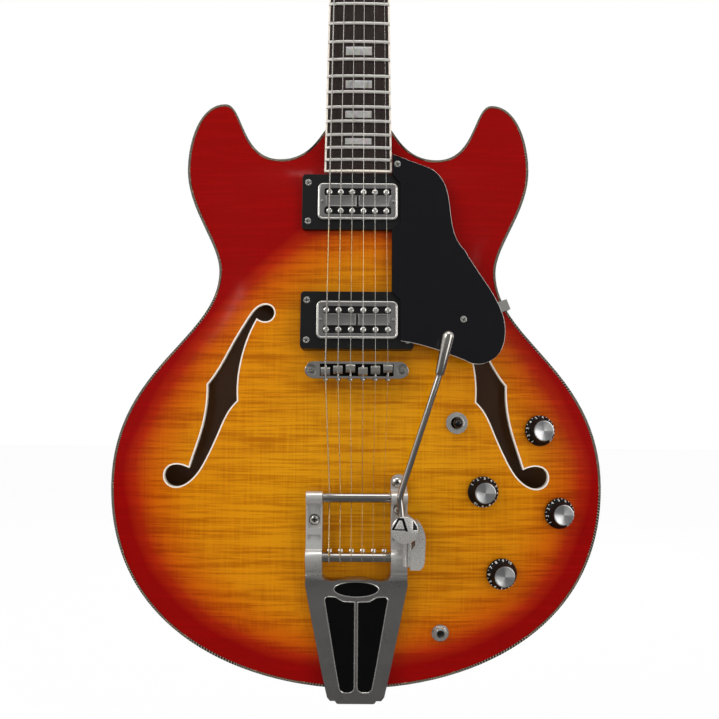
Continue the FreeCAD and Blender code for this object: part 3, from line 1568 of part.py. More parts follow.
def build_rocker(left, right, middle):
    gap = float(size.moving_gap)
    end = size.bracket_side + size.bracket_thickness
    axle = crosswise(size.axle_radius, left + 4.4, end - 1.3, size.axle_up, size.axle_out)
    pins = []
    for index in range(6):
        x = string_side(index, size.bridge_string_spread * 0.874) + middle
        pin = Part.makeCylinder(size.axle_pin_radius, 6.4,
                                Vector(x + 0.9 + size.bass_gauge / 2, size.axle_up, size.axle_out),
                                Vector(0, 0.9, -0.45))
        pins.append(pin)
    piece("string_axle", axle.fuse(pins), body_frame())

    thick = float(size.bracket_thickness)
    dome_x = float(size.dome_side)
    dome_up = float(size.dome_up)
    dome_out = float(size.dome_out)
    low = dome_out - 8.0
    plate = cylinder(size.dome_radius, low, low + thick, (dome_x, dome_up))
    side_x = float(size.bracket_side)
    bore = crosswise(size.axle_radius + size.sliding_gap, side_x - 10, end - 1.0,
                     size.axle_up, size.axle_out)
    bolt_hole = cylinder(2.6, low - 2, low + thick + 2, (dome_x, dome_up))
    bracket = plate.fuse(bracket_side_plate(low, thick) + bracket_lugs(low))
    bracket = bracket.cut([bore, bolt_hole])
    bolt = cylinder(2.5, low - 2, dome_out + 1.5, (dome_x, dome_up))
    bolt_head = cylinder(4.2, low - 4, low - 0.05, (dome_x, dome_up))
    cap_low = low + thick + 2 * (size.arm_rod_radius + size.arm_swing_gap)
    cap = Part.makeSphere(22, Vector(dome_x, dome_up, cap_low - 18.4)).common(
        cylinder(size.dome_radius, cap_low, cap_low + 12, (dome_x, dome_up)))
    sunk = moved(cap, Placement(Vector(0, 0, -0.6), Rotation()))
    marks = [cap.common(mark).cut(sunk) for mark in cap_marks((dome_x, dome_up))]
    bolt = bolt.fuse([bolt_head, cap.cut(marks)])
    piece("arm_bracket", [bracket, bolt], body_frame())

    build_arm(low + thick, cap_low)
    build_spring(dome_x, dome_up, float(size.spring_seat), low - 4.3)


def bracket_side_plate(low, thick):
    """The bracket's curved flank beside the casting, from the disc down to the axle's end."""
    beside_spring = size.vibrato_side + size.vibrato_half + 5.2
    inner = size.vibrato_side + size.vibrato_half + 1.6
    outer = float(size.bracket_side) + 5.2
    up = float(size.flank_up)
    foot = size.axle_up - 7.6
    straight = [(outer - 4.6, foot), (inner, foot), (inner, up - 14), (beside_spring, up - 9),
                (beside_spring, up + 7.5)]
    edges = [Part.LineSegment(Vector(*start, 0), Vector(*end, 0)).toShape()
             for start, end in zip(straight, straight[1:])]
    curve = spline([(beside_spring, up + 7.5), (beside_spring + 2.4, up + 8.6),
                    (outer - 2.0, up + 4.0), (outer, up - 4.5), (outer - 0.4, up - 16.0),
                    (outer - 2.2, foot + 2.2), (outer - 4.6, foot)])
    flank = prism(Part.Wire([curve] + edges), size.axle_out - 6.0, low + thick)
    web = Part.makeBox(beside_spring + 2 - size.dome_side, 13, thick,
                       Vector(size.dome_side, size.dome_up - 9, low))
    return [flank, web]


def bracket_lugs(low):
    """Two round lugs that reach from the disc down past the axle."""
    lugs = []
    for x in (size.dome_side + 0.8, size.dome_side + 4.3):
        start = Vector(x, size.dome_up - 6, low + 1.3)
        foot = Vector(x, size.axle_up - 4.2, low + 0.4)
        shaft = Part.makeCylinder(size.lug_radius, (foot - start).Length, start, foot - start)
        lugs += [shaft, Part.makeSphere(size.lug_radius, foot)]
    return lugs


def build_arm(low, high):
    """The player's arm: an eye round the bolt, a bent rod and a tapered handle."""
    pivot = (float(size.dome_side), float(size.dome_up))
    rod_out = (low + high) / 2
    start = Vector(size.arm_handle_side, size.arm_handle_up, rod_out + 3)
    tip = Vector(size.arm_tip_side, size.arm_tip_up, rod_out + 4)
    direction = tip - start
    inside = start + Vector(direction).normalize() * 12
    route = [Vector(pivot[0] - 1.7, pivot[1] + 4.2, rod_out),
             Vector(size.arm_bend_side, size.arm_bend_up, rod_out),
             start, inside]
    rod = tube(bent_path(route, [24.0, 60.0]), float(size.arm_rod_radius))
    eye = cylinder(6.5, low + size.arm_swing_gap, high - size.arm_swing_gap, pivot)
    first = size.handle_start_radius
    last = size.handle_end_radius
    length = direction.Length
    round_start = Vector(last, 0, length)
    round_middle = Vector(last * math.sin(math.pi / 4), 0, length + last * math.sin(math.pi / 4))
    round_end = Vector(0, 0, length + last)
    profile = Part.Wire([
        Part.LineSegment(Vector(), Vector(first - 0.8, 0, 0)).toShape(),
        Part.LineSegment(Vector(first - 0.8, 0, 0), Vector(first, 0, 1.2)).toShape(),
        Part.LineSegment(Vector(first, 0, 1.2), round_start).toShape(),
        Part.Arc(round_start, round_middle, round_end).toShape(),
        Part.LineSegment(round_end, Vector()).toShape(),
    ])
    handle = Part.Face(profile).revolve(Vector(), Vector(0, 0, 1), 360)
    handle = moved(handle, Placement(start, Rotation(Vector(0, 0, 1), direction)))
    bore = cylinder(2.5 + size.sliding_gap, low - 1, high + 1, pivot)
    piece("vibrato_arm", rod.fuse([eye, handle]).cut(bore), body_frame())


def build_spring(x, up, bottom, top):
    """The coil spring under the arm bracket, one tube along a helix of quarter turns."""
    radius = float(size.spring_radius)
    wire = float(size.spring_wire)
    turns = int(size.spring_turns)
    steps = turns * 4
    rise = top - bottom - 2 * wire
    climb = rise / steps

    def place(step):
        angle = step * math.pi / 2
        return Vector(x + radius * math.cos(angle), up + radius * math.sin(angle),
                      bottom + wire + climb * step)

    def heading(step):
        angle = step * math.pi / 2
        slope = climb / (radius * math.pi / 2)
        return Vector(-math.sin(angle), math.cos(angle), slope).normalize()

    edges = [Part.LineSegment(place(0) - heading(0) * 2 * wire, place(0)).toShape()]
    for step in range(steps):
        edges += biarc(place(step), heading(step), place(step + 1), heading(step + 1))
    last = place(steps)
    edges.append(Part.LineSegment(last, last + heading(steps) * 2 * wire).toShape())
    coil = tube(edges, wire)
    print("spring: least gap between turns", round(4 * climb - 2 * wire, 2), "mm")
    piece("vibrato_spring", coil, body_frame())


def biarc(start, heading, end, arriving):
    """Two arcs that leave start and reach end along the given directions."""
    chord = end - start
    total = heading + arriving
    a = total.dot(total) - 4
    b = -2 * chord.dot(total)
    c = chord.dot(chord)
    if abs(a) < 1e-9:
        leg = -c / b
    else:
        root = math.sqrt(b * b - 4 * a * c)
        leg = min(value for value in ((-b + root) / (2 * a), (-b - root) / (2 * a)) if value > 0)
    first = start + heading * leg
    second = end - arriving * leg
    joint = (first + second) * 0.5
    return [corner_arc(start, first, joint).toShape(), corner_arc(joint, second, end).toShape()]


# Controls

def build_controls():
    pots = []
    thickness = float(size.plate_thickness)
    gap = float(size.sliding_gap)
    for label, place in knob_places().items():
        bush = cylinder(size.pot_bush_radius, -thickness - 1, 4.2)
        nut = cylinder(size.pot_nut_radius, 0.1, 2.1)
        washer = cylinder(size.pot_nut_radius + 2, -0.02, 0.1)
        can = cylinder(size.pot_can_radius, -thickness - 1 - size.pot_can_height, -thickness - 0.3)
        lug = Part.makeBox(16, 8, 1, Vector(-8, -size.pot_can_radius - 7, -thickness - 3))
        bore = cylinder(size.pot_shaft_radius + gap, -thickness - 6, 10)
        pots.append(moved(bush.fuse([nut, can, lug]).cut(bore), place))
        build_knob(label, body_frame() * place)
    piece("potentiometers", pots, body_frame())
    build_switch()
    build_jack()


def build_knob(label, frame):
    """Black knob with a wide skirt, a metal cap and the shaft that it turns."""
    low = size.knob_lift
    top = size.knob_lift + size.knob_height
    bore = size.pot_shaft_radius + size.sliding_gap
    start = Cell(4.6, "4.6")
    hollow = size.pot_nut_radius + 1
    corners = [(hollow, low), (size.knob_radius, low), (size.knob_radius, low + size.knob_skirt),
               (size.knob_neck_radius, low + size.knob_skirt + 1.5), (size.knob_cap_radius, top - 0.6),
               (bore, top - 0.6), (bore, start), (hollow, start)]
    body = turned_body(label + "_shell", corners)
    shaft = primitive("Cylinder", label + "_shaft", -3.0, Radius=size.pot_shaft_radius,
                      Height=size.knob_height + 3.6)
    cap = primitive("Cylinder", label + "_cap", float(top) - 0.6, Radius=size.knob_cap_radius,
                    Height=Cell(0.6, "0.6"))
    group = doc.addObject("Part::Compound", label)
    group.Links = [body, shaft, cap]
    keep(group, label, frame)


def build_switch():
    place = surface_frame(size.switch_side, size.switch_up)
    thickness = float(size.plate_thickness)
    bush = cylinder(size.switch_bush_radius, -thickness - 2, 2.6)
    ring = cylinder(size.switch_nut_radius, 0.1, 2.4)
    box = rounded_box(15, 30, -thickness - 24, -thickness - 0.3, 1)
    pivot = -thickness - 10
    bore = cylinder(4.8, pivot - 4, 10)
    pin_hole = crosswise(1.0 + size.sliding_gap, -7.0, 7.0, 0, pivot)
    shell = bush.fuse([ring, box]).cut([bore, Part.makeSphere(5.2, Vector(0, 0, pivot)), pin_hole])
    piece("switch_body", moved(shell, place), body_frame())
    ball = Part.makeSphere(4.4, Vector(0, 0, pivot)).fuse(crosswise(1.0, -6.6, 6.6, 0, pivot))
    stem = cylinder(1.5, pivot, 8)
    tip = Part.makeCone(size.switch_tip_radius - 0.8, size.switch_tip_radius,
                        size.switch_lever_height - 9, Vector(0, 0, 6))
    crown = Part.makeSphere(size.switch_tip_radius, Vector(0, 0, size.switch_lever_height - 3))
    piece("switch_lever", moved(ball.fuse([stem, tip, crown]), place), body_frame())


def build_jack():
    place = surface_frame(size.jack_side, size.jack_up)
    thickness = float(size.plate_thickness)
    bush = cylinder(size.jack_bush_radius, -thickness - 2, 3.4)
    nut = polygon([(size.jack_nut_radius * math.cos(k * math.pi / 3),
                    size.jack_nut_radius * math.sin(k * math.pi / 3), 0) for k in range(6)])
    nut = prism(nut, 0.6, 2.8)
    washer = cylinder(size.jack_nut_radius + 0.7, 0.05, 0.6)
    can = cylinder(9.0, -thickness - size.jack_body_length, -thickness - 0.3)
    bore = cylinder(size.jack_bore_radius, -thickness - size.jack_body_length + 1, 10)
    piece("output_jack", moved(bush.fuse([nut, washer, can]).cut(bore), place), body_frame())


# Strap buttons, strings and small screws

def heel_strap_hole():
    """Screw hole from the back into the heel block."""
    return cylinder(1.9, -size.rim_depth - 20, -size.rim_depth + 22, (0, heel_button_up()))


def heel_button_up():
    return size.neck_joint_up - 14


def strap_hole_tail():
    return Part.makeCylinder(1.9, 50, Vector(0, -size.tail_down - 20, -size.rim_depth / 2 - 8),
                             Vector(0, 1, 0))


def tail_screw_hole():
    return Part.makeCylinder(2.2, 40, Vector(0, -size.tail_down - 20, -size.rim_depth / 2 - 8),
                             Vector(0, 1, 0))


def strap_button(frame):
    radius = float(size.strap_button_radius)
    height = float(size.strap_button_height)
    profile = Part.Wire(Part.makePolygon([Vector(*point) for point in (
        (0, 0, 0), (radius * 0.9, 0, 0), (radius * 0.62, 0, height * 0.35),
        (radius * 0.62, 0, height * 0.55), (radius, 0, height * 0.85), (radius * 0.9, 0, height),
        (0, 0, height), (0, 0, 0))]))
    knob = Part.Face(profile).revolve(Vector(), Vector(0, 0, 1), 360)
    shank = cylinder(1.8, -20, 1)
    return moved(knob.fuse(shank), frame)


def build_strap_buttons():
    tail = Placement(Vector(0, size.tab_wall_up - 0.05, -size.rim_depth / 2 - 8),
                     Rotation(Vector(1, 0, 0), 90))
    heel = Placement(Vector(0, heel_button_up(), -size.rim_depth - 0.05),
                     Rotation(Vector(1, 0, 0), 180))
    piece("strap_buttons", [strap_button(tail), strap_button(heel)], body_frame())


def string_route(index):
    """Bends of one string from its tuner post to the vibrato's axle, in the row frame."""
    gauge = string_gauge(index)
    x_post, up_post, side = tuner_places()[index if index < 3 else 8 - index]
    reach = size.post_radius + gauge / 2 + size.seat_gap
    neck = neck_frame()
    body = body_frame()
    nut_x = string_side(index, size.nut_string_spread)
    saddle_x = string_side(index, size.bridge_string_spread)
    end_x = string_side(index, size.bridge_string_spread * 0.874) + size.vibrato_side
    under_bar = size.bar_out - size.bar_radius - gauge / 2 - size.seat_gap
    over_axle = size.axle_out + size.axle_radius + gauge / 2 + size.seat_gap
    return [
        head_frame().multVec(Vector(x_post - side * reach, up_post, size.post_height * 0.56)),
        neck.multVec(Vector(nut_x, 0.6, size.nut_string_height)),
        neck.multVec(Vector(saddle_x, -size.scale_length, size.bridge_string_height)),
        body.multVec(Vector(end_x, size.bar_up, under_bar)),
        body.multVec(Vector(end_x, size.axle_up + 1.5, over_axle)),
    ]


def string_tube(index, gap):
    """One string, or the space round it when a gap is given, in the row frame."""
    gauge = string_gauge(index)
    radii = [3.0, 3.0, size.bar_radius + gauge / 2 + size.seat_gap]
    return tube(bent_path(string_route(index), radii), gauge / 2 + gap)


def build_strings():
    piece("strings", [string_tube(index, 0) for index in range(6)])


def build_trim_screws(screws):
    """Small screws of the rings, the guard, the truss rod cover and the tuners."""
    to_body = body_frame().inverse() * head_frame()
    screws += [screw(to_body * item, 7.0) for item in cover_screw_frames()]
    piece("trim_screws", screws, body_frame())


def check_model():
    """Stops when a feature failed or a sub-part has no valid shape."""
    doc.recompute()
    for item in doc.Objects:
        if "Invalid" in item.State or "Error" in item.State:
            raise RuntimeError("failed feature: " + item.Label)
    for item in sub_parts:
        if item.Shape.isNull() or not item.Shape.isValid() or not item.Shape.Solids:
            raise RuntimeError("no valid shape: " + item.Label)


def write_parts():
    os.makedirs("parts", exist_ok=True)
    for item in sub_parts:
        item.Shape.exportStep(os.path.join("parts", item.Label + ".step"))


fill_sheet()
top_surface = build_body()
build_neck()
build_fretboard()
build_nut()
build_truss_rod()
build_truss_cover()
build_tuners()
small_screws = build_pickups(top_surface)
small_screws += build_pickguard()
small_screws.append(build_guard_bracket())
build_bridge()
build_vibrato()
build_controls()
build_strap_buttons()
build_strings()
build_trim_screws(small_screws)
check_model()
write_parts()
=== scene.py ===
import bpy
import json
import math
from mathutils import Matrix, Vector
from mathutils.kdtree import KDTree

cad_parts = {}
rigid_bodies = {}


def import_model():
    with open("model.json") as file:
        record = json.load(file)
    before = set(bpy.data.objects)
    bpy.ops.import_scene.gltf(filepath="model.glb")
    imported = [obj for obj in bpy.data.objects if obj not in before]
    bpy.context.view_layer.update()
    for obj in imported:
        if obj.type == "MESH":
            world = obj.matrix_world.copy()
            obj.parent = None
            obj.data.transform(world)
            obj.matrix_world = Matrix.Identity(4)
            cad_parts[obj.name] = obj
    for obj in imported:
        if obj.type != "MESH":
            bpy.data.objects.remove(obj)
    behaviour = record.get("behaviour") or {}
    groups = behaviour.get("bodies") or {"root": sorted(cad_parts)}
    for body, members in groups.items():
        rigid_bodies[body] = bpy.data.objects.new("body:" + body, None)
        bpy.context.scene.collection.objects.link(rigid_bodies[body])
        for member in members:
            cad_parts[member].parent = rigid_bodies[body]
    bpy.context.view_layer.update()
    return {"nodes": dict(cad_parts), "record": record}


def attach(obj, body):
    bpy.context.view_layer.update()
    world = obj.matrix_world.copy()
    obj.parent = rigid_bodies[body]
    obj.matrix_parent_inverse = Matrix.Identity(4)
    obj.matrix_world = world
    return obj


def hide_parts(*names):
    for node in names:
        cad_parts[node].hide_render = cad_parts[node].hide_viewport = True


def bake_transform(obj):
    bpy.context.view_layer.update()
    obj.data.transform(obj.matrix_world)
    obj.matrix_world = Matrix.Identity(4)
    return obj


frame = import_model()
bpy.ops.object.select_all(action="DESELECT")
print("frame: loaded", len(frame["nodes"]), "nodes")

mm = 0.001
frontY = -26.85      # front plane of the rim, in mm
bridgeZ = -626.96    # height of the body's own zero, at the bridge
stringSlope = 4.48   # the strings fall this much from the bridge to the nut, in degrees


# Camera, light and floor

cameraSet = {"focalPixels": 800.8, "imagePixels": 719, "sensor": 36.0,
             "place": (2.2, -694.85, -649.2), "tiltUp": 2.83, "roll": 0.38}


def addCamera():
    data = bpy.data.cameras.new("camera")
    data.sensor_width = cameraSet["sensor"]
    data.lens = cameraSet["sensor"] * cameraSet["focalPixels"] / cameraSet["imagePixels"]
    data.clip_start = 0.01
    camera = bpy.data.objects.new("camera", data)
    bpy.context.scene.collection.objects.link(camera)
    looking = Matrix.Rotation(math.radians(90 + cameraSet["tiltUp"]), 4, "X")
    rolled = Matrix.Rotation(math.radians(cameraSet["roll"]), 4, "Z")
    camera.matrix_world = Matrix.Translation(Vector(cameraSet["place"]) * mm) @ looking @ rolled
    bpy.context.scene.camera = camera


# each lamp: place, point it faces, width and height in metres, power in watts
lampSet = {
    "keyBox": ((-1.25, -1.05, 0.25), (0, 0, -0.55), 0.9, 0.9, 15),
    "fillBox": ((1.35, -1.15, -0.35), (0, 0, -0.6), 0.9, 1.3, 9.5),
    "topBox": ((0.1, -0.75, 0.85), (0, 0, -0.3), 1.2, 0.6, 6.4),
    "backBox": ((0.3, 1.5, 0.3), (0, 0, -0.4), 1.4, 1.4, 16),
}


def addLamps():
    for name, (place, aim, width, height, power) in lampSet.items():
        data = bpy.data.lights.new(name, "AREA")
        data.shape = "RECTANGLE"
        data.size = width
        data.size_y = height
        data.energy = power
        lamp = bpy.data.objects.new(name, data)
        bpy.context.scene.collection.objects.link(lamp)
        lamp.location = place
        lamp.rotation_euler = (Vector(aim) - Vector(place)).to_track_quat("-Z", "Y").to_euler()


# Shop tools: everything below is shaped in mm in the body's own directions
# (x across, y up, z out of the top) and carried to its place by a matrix

bodyPlace = Matrix(((mm, 0, 0, 0), (0, 0, -mm, frontY * mm), (0, mm, 0, bridgeZ * mm),
                    (0, 0, 0, 1)))
asPlaced = Matrix.Identity(4)   # for a shape that is made where it belongs
coilSteps = 24                  # points in one turn of a spring or a winding
joints = {joint["name"]: joint for joint in frame["record"]["behaviour"]["joints"]}


def shifted(x, y, z=0.0):
    return Matrix.Translation((x, y, z))


def turned(degrees, axis="Z"):
    return Matrix.Rotation(math.radians(degrees), 4, axis)


def jointPlace(name):
    # the place of a hinge in metres with its axis as z, sized for shapes in mm
    joint = joints[name]
    facing = Vector(joint["axis"]).to_track_quat("Z", "Y").to_matrix().to_4x4()
    return Matrix.Translation(joint["pos_m"]) @ facing @ Matrix.Scale(mm, 4)


def deselectAll():
    if bpy.context.object and bpy.context.object.mode != "OBJECT":
        bpy.ops.object.mode_set(mode="OBJECT")
    bpy.ops.object.select_all(action="DESELECT")


def pick(piece):
    deselectAll()
    piece.select_set(True)
    bpy.context.view_layer.objects.active = piece


def choose(piece, kind, test):
    # opens edit mode with the vertices, edges or faces that pass a test
    pick(piece)
    bpy.ops.object.mode_set(mode="EDIT")
    bpy.ops.mesh.select_mode(type=kind)
    bpy.ops.mesh.select_all(action="DESELECT")
    bpy.ops.object.mode_set(mode="OBJECT")
    mesh = piece.data
    for item in {"VERT": mesh.vertices, "EDGE": mesh.edges, "FACE": mesh.polygons}[kind]:
        item.select = test(item)
    bpy.ops.object.mode_set(mode="EDIT")


def applyModifier(piece, kind, **settings):
    pick(piece)
    modifier = piece.modifiers.new(kind.title(), kind)
    for name, value in settings.items():
        setattr(modifier, name, value)
    bpy.ops.object.modifier_apply(modifier=modifier.name)
    return piece


def tidyMesh(piece, gap=0.001):
    # closes the seams and turns every face outwards
    pick(piece)
    bpy.ops.object.mode_set(mode="EDIT")
    bpy.ops.mesh.select_mode(type="VERT")
    bpy.ops.mesh.select_all(action="SELECT")
    bpy.ops.mesh.remove_doubles(threshold=gap)
    bpy.ops.mesh.normals_make_consistent(inside=False)
    bpy.ops.object.mode_set(mode="OBJECT")
    return piece


def softenEdges(piece, width, angle=30, segments=2):
    return applyModifier(piece, "BEVEL", width=width, segments=segments, limit_method="ANGLE",
                         angle_limit=math.radians(angle), miter_outer="MITER_ARC")


def lathe(profile, sides=48):
    # a solid of revolution: each pair is a radius and a height, from one end to the other
    deselectAll()
    radius, height = profile[0]
    bpy.ops.mesh.primitive_circle_add(vertices=sides, radius=radius, fill_type="NGON",
                                      location=(0, 0, height))
    bpy.ops.object.transform_apply(location=True, rotation=True, scale=True)
    piece = bpy.context.object
    bpy.ops.object.mode_set(mode="EDIT")
    bpy.ops.mesh.select_all(action="SELECT")
    for nextRadius, nextHeight in profile[1:]:
        move = {"value": (0, 0, nextHeight - height)}
        bpy.ops.mesh.extrude_region_move(TRANSFORM_OT_translate=move)
        size = nextRadius / radius
        bpy.ops.transform.resize(value=(size, size, 1), center_override=(0, 0, nextHeight))
        radius, height = nextRadius, nextHeight
    return tidyMesh(piece)


def slab(width, length, low, high, corner):
    # a plate with rounded corners
    deselectAll()
    bpy.ops.mesh.primitive_cube_add(size=1.0, location=(0, 0, (low + high) / 2))
    piece = bpy.context.object
    piece.scale = (width, length, high - low)
    bpy.ops.object.transform_apply(location=True, rotation=True, scale=True)
    mesh = piece.data

    def upright(item):
        first, second = (mesh.vertices[index].co for index in item.vertices)
        return abs(first.z - second.z) > (high - low) * 0.5

    choose(piece, "EDGE", upright)
    bpy.ops.mesh.bevel(offset=corner, segments=6, affect="EDGES")
    bpy.ops.object.mode_set(mode="OBJECT")
    return piece


def pipe(points, radius, cyclic=False, sides=4):
    # a round wire through the points
    data = bpy.data.curves.new("wire", "CURVE")
    data.dimensions = "3D"
    data.bevel_depth = radius
    data.bevel_resolution = sides
    data.use_fill_caps = True
    spline = data.splines.new("POLY")
    spline.points.add(len(points) - 1)
    for point, place in zip(spline.points, points):
        point.co = (*place, 1.0)
    spline.use_cyclic_u = cyclic
    piece = bpy.data.objects.new("wire", data)
    bpy.context.scene.collection.objects.link(piece)
    pick(piece)
    bpy.ops.object.convert(target="MESH")
    return tidyMesh(bpy.context.object)


def cutAway(piece, *tools):
    # takes the tools' space out of a piece
    for tool in tools:
        applyModifier(piece, "BOOLEAN", object=tool, operation="DIFFERENCE", solver="EXACT")
        bpy.data.objects.remove(tool, do_unlink=True)
    return piece


def joined(pieces):
    deselectAll()
    for piece in pieces:
        piece.select_set(True)
    bpy.context.view_layer.objects.active = pieces[0]
    if len(pieces) > 1:
        bpy.ops.object.join()
    return bpy.context.object


def copyOf(piece, matrix=asPlaced):
    again = piece.copy()
    again.data = piece.data.copy()
    bpy.context.scene.collection.objects.link(again)
    again.data.transform(matrix)
    return again


def settle(piece, name, finish, place, body, replaced=(), smooth=35):
    # carries a piece to its place and gives it its finish and its body
    piece.name = name
    piece.data.transform(place)
    piece.data.update()
    if finish:
        piece.data.materials.clear()
        piece.data.materials.append(finishes[finish])
    pick(piece)
    bpy.ops.object.shade_smooth_by_angle(angle=math.radians(smooth))
    if body:
        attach(piece, body)
    if replaced:
        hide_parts(*replaced)
    return piece


flatArea = 60 * mm * mm   # a face larger than this keeps its flat shading
mergeGap = 0.000002       # points of a CAD mesh closer than this are one

bodyOf = {node: body for body, nodes in frame["record"]["behaviour"]["bodies"].items()
          for node in nodes}
slotOf = {row["node"]: row["material_slot"] for row in frame["record"]["subparts"]}


def freshCopy(node):
    # a new object with a mesh of its own from a CAD piece
    piece = bpy.data.objects.new(node + "_dressed", frame["nodes"][node].data.copy())
    bpy.context.scene.collection.objects.link(piece)
    pick(piece)
    return piece


def dressedCopy(node, edge, finish=None, angle=32, segments=2, rides=True):
    # a copy of a CAD piece with its sharp edges broken, which stands for it
    piece = freshCopy(node)
    bpy.ops.mesh.customdata_custom_splitnormals_clear()
    bpy.ops.object.mode_set(mode="EDIT")
    bpy.ops.mesh.select_all(action="SELECT")
    bpy.ops.mesh.remove_doubles(threshold=mergeGap)
    bpy.ops.mesh.dissolve_limited(angle_limit=math.radians(0.6))
    bpy.ops.object.mode_set(mode="OBJECT")
    softenEdges(piece, edge * mm, angle, segments)
    finish = finish or slotFinish[slotOf[node]]
    body = bodyOf[node] if rides else None
    settle(piece, piece.name, finish, asPlaced, body, [node])
    for face in piece.data.polygons:
        if face.area > flatArea:
            face.use_smooth = False
    return piece


# Finishes

class Wire:
    # one socket of a finish; arithmetic on it adds Math nodes
    def __init__(self, finish, socket):
        self.finish = finish
        self.socket = socket

    def math(self, operation, *values):
        return self.finish.node("ShaderNodeMath", {"operation": operation}, dict(enumerate(values)))

    def __add__(self, other):
        return self.math("ADD", self, other)

    __radd__ = __add__

    def __sub__(self, other):
        return self.math("SUBTRACT", self, other)

    def __rsub__(self, other):
        return self.math("SUBTRACT", other, self)

    def __mul__(self, other):
        return self.math("MULTIPLY", self, other)

    __rmul__ = __mul__

    def __truediv__(self, other):
        return self.math("DIVIDE", self, other)

    def __pow__(self, other):
        return self.math("POWER", self, other)

    def __abs__(self):
        return self.math("ABSOLUTE", self)

    def atLeast(self, other):
        return self.math("MAXIMUM", self, other)

    def above(self, other):
        return self.math("GREATER_THAN", self, other)

    def part(self, name):
        return Wire(self.finish, self.socket.node.outputs[name])


class Finish:
    # a node material; fixed values are set on the shader's own sockets
    def __init__(self, name, fixed):
        self.material = bpy.data.materials.new(name)
        self.material.use_nodes = True
        self.tree = self.material.node_tree
        self.shader = self.tree.nodes["Principled BSDF"]
        for socket, value in fixed.items():
            self.shader.inputs[socket].default_value = value

    def node(self, kind, settings, inputs, output=0):
        made = self.tree.nodes.new(kind)
        for name, value in settings.items():
            if name == "stops":
                self.setStops(made.color_ramp, value)
            else:
                setattr(made, name, value)
        for name, value in inputs.items():
            if isinstance(value, Wire):
                self.tree.links.new(value.socket, made.inputs[name])
            else:
                made.inputs[name].default_value = value
        return Wire(self, made.outputs[output])

    def setStops(self, ramp, stops):
        while len(ramp.elements) < len(stops):
            ramp.elements.new(1.0)
        for element, (place, colour) in zip(ramp.elements, stops):
            element.position = place
            element.color = colour

    def coords(self, scale=(1, 1, 1), shift=(0, 0, 0), turn=(0, 0, 0)):
        place = self.node("ShaderNodeTexCoord", {}, {}, "Object")
        sizes = {"Vector": place, "Location": shift, "Rotation": turn, "Scale": scale}
        return self.node("ShaderNodeMapping", {}, sizes)

    def noise(self, coords, scale, detail=2.0, roughness=0.5):
        return self.node("ShaderNodeTexNoise", {}, {"Vector": coords, "Scale": scale,
                                                    "Detail": detail, "Roughness": roughness})

    def cells(self, coords, scale, feature="F1", output="Distance"):
        return self.node("ShaderNodeTexVoronoi", {"feature": feature},
                         {"Vector": coords, "Scale": scale}, output)

    def ramp(self, value, *stops):
        return self.node("ShaderNodeValToRGB", {"stops": stops}, {"Fac": value})

    def spread(self, value, low, high, toLow=0.0, toHigh=1.0):
        return self.node("ShaderNodeMapRange", {"interpolation_type": "SMOOTHSTEP"},
                         {"Value": value, "From Min": low, "From Max": high,
                          "To Min": toLow, "To Max": toHigh})

    def mix(self, share, first, second, blend="MIX"):
        return self.node("ShaderNodeMix", {"data_type": "RGBA", "blend_type": blend,
                                           "clamp_factor": True},
                         {0: share, 6: first, 7: second}, 2)

    def axes(self, coords):
        split = self.node("ShaderNodeSeparateXYZ", {}, {"Vector": coords}, "X")
        return split, split.part("Y"), split.part("Z")

    def inMm(self, shift=(0, 0, 0)):
        # the place of a point across, in depth and up, in mm
        return self.axes(self.coords((1000, 1000, 1000), shift))

    def facing(self, axis, low, high):
        # 0 where the surface looks down this axis, 1 where it looks up it
        looks = self.node("ShaderNodeNewGeometry", {}, {}, "True Normal")
        split = self.node("ShaderNodeSeparateXYZ", {}, {"Vector": looks}, axis)
        return self.spread(split, low, high)

    def feed(self, socket, value):
        self.tree.links.new(value.socket, self.shader.inputs[socket])

    def relief(self, height, strength, distance):
        bump = self.node("ShaderNodeBump", {}, {"Height": height, "Strength": strength,
                                                "Distance": distance})
        self.feed("Normal", bump)


def colour(red, green, blue):
    # a linear colour from the 0 to 255 values that a paint chart gives
    values = [channel / 255 for channel in (red, green, blue)]
    return [v / 12.92 if v <= 0.04045 else ((v + 0.055) / 1.055) ** 2.4 for v in values] + [1.0]


burstSet = {"centreSide": 1.5, "centreUp": -80, "halfWidth": 176,
            "topReach": 205, "tailReach": 148,
            "topPower": 1.37, "tailPower": 2.15,
            "cherry": colour(141, 5, 3), "scarlet": colour(166, 38, 6),
            "orange": colour(190, 88, 4), "amber": colour(203, 126, 8),
            "honey": colour(209, 142, 13)}


def burstField(finish):
    # 1 on the line where amber turns to orange, less inside and more outside
    x, _, up = finish.inMm((-burstSet["centreSide"], 0, -bridgeZ))
    across = abs(x) / burstSet["halfWidth"]
    rise = up - burstSet["centreUp"]
    top = burstSet["topPower"]
    tail = burstSet["tailPower"]
    above = (across ** top + (rise.atLeast(0.0) / burstSet["topReach"]) ** top) ** (1 / top)
    below = (across ** tail + ((0.0 - rise).atLeast(0.0) / burstSet["tailReach"])
             ** tail) ** (1 / tail)
    isAbove = finish.spread(rise, -30, 30)
    return above * isAbove + below * (1 - isAbove)


def flameFigure(finish):
    # light and dark bands across the maple, with finer streaks and a faint grain up the plate
    wide = finish.noise(finish.coords(scale=(9, 9, 120)), 1.0, 3.0, 0.6)
    streaks = finish.noise(finish.coords(scale=(20, 20, 540), shift=(3, 0, 7)), 1.0, 3.0, 0.65)
    grain = finish.noise(finish.coords(scale=(560, 560, 20), shift=(9, 0, 1)), 1.0, 1.0)
    return wide * 0.34 + streaks * 0.54 + grain * 0.12


bareWood = colour(150, 104, 68)   # the inside of the plates, under no lacquer


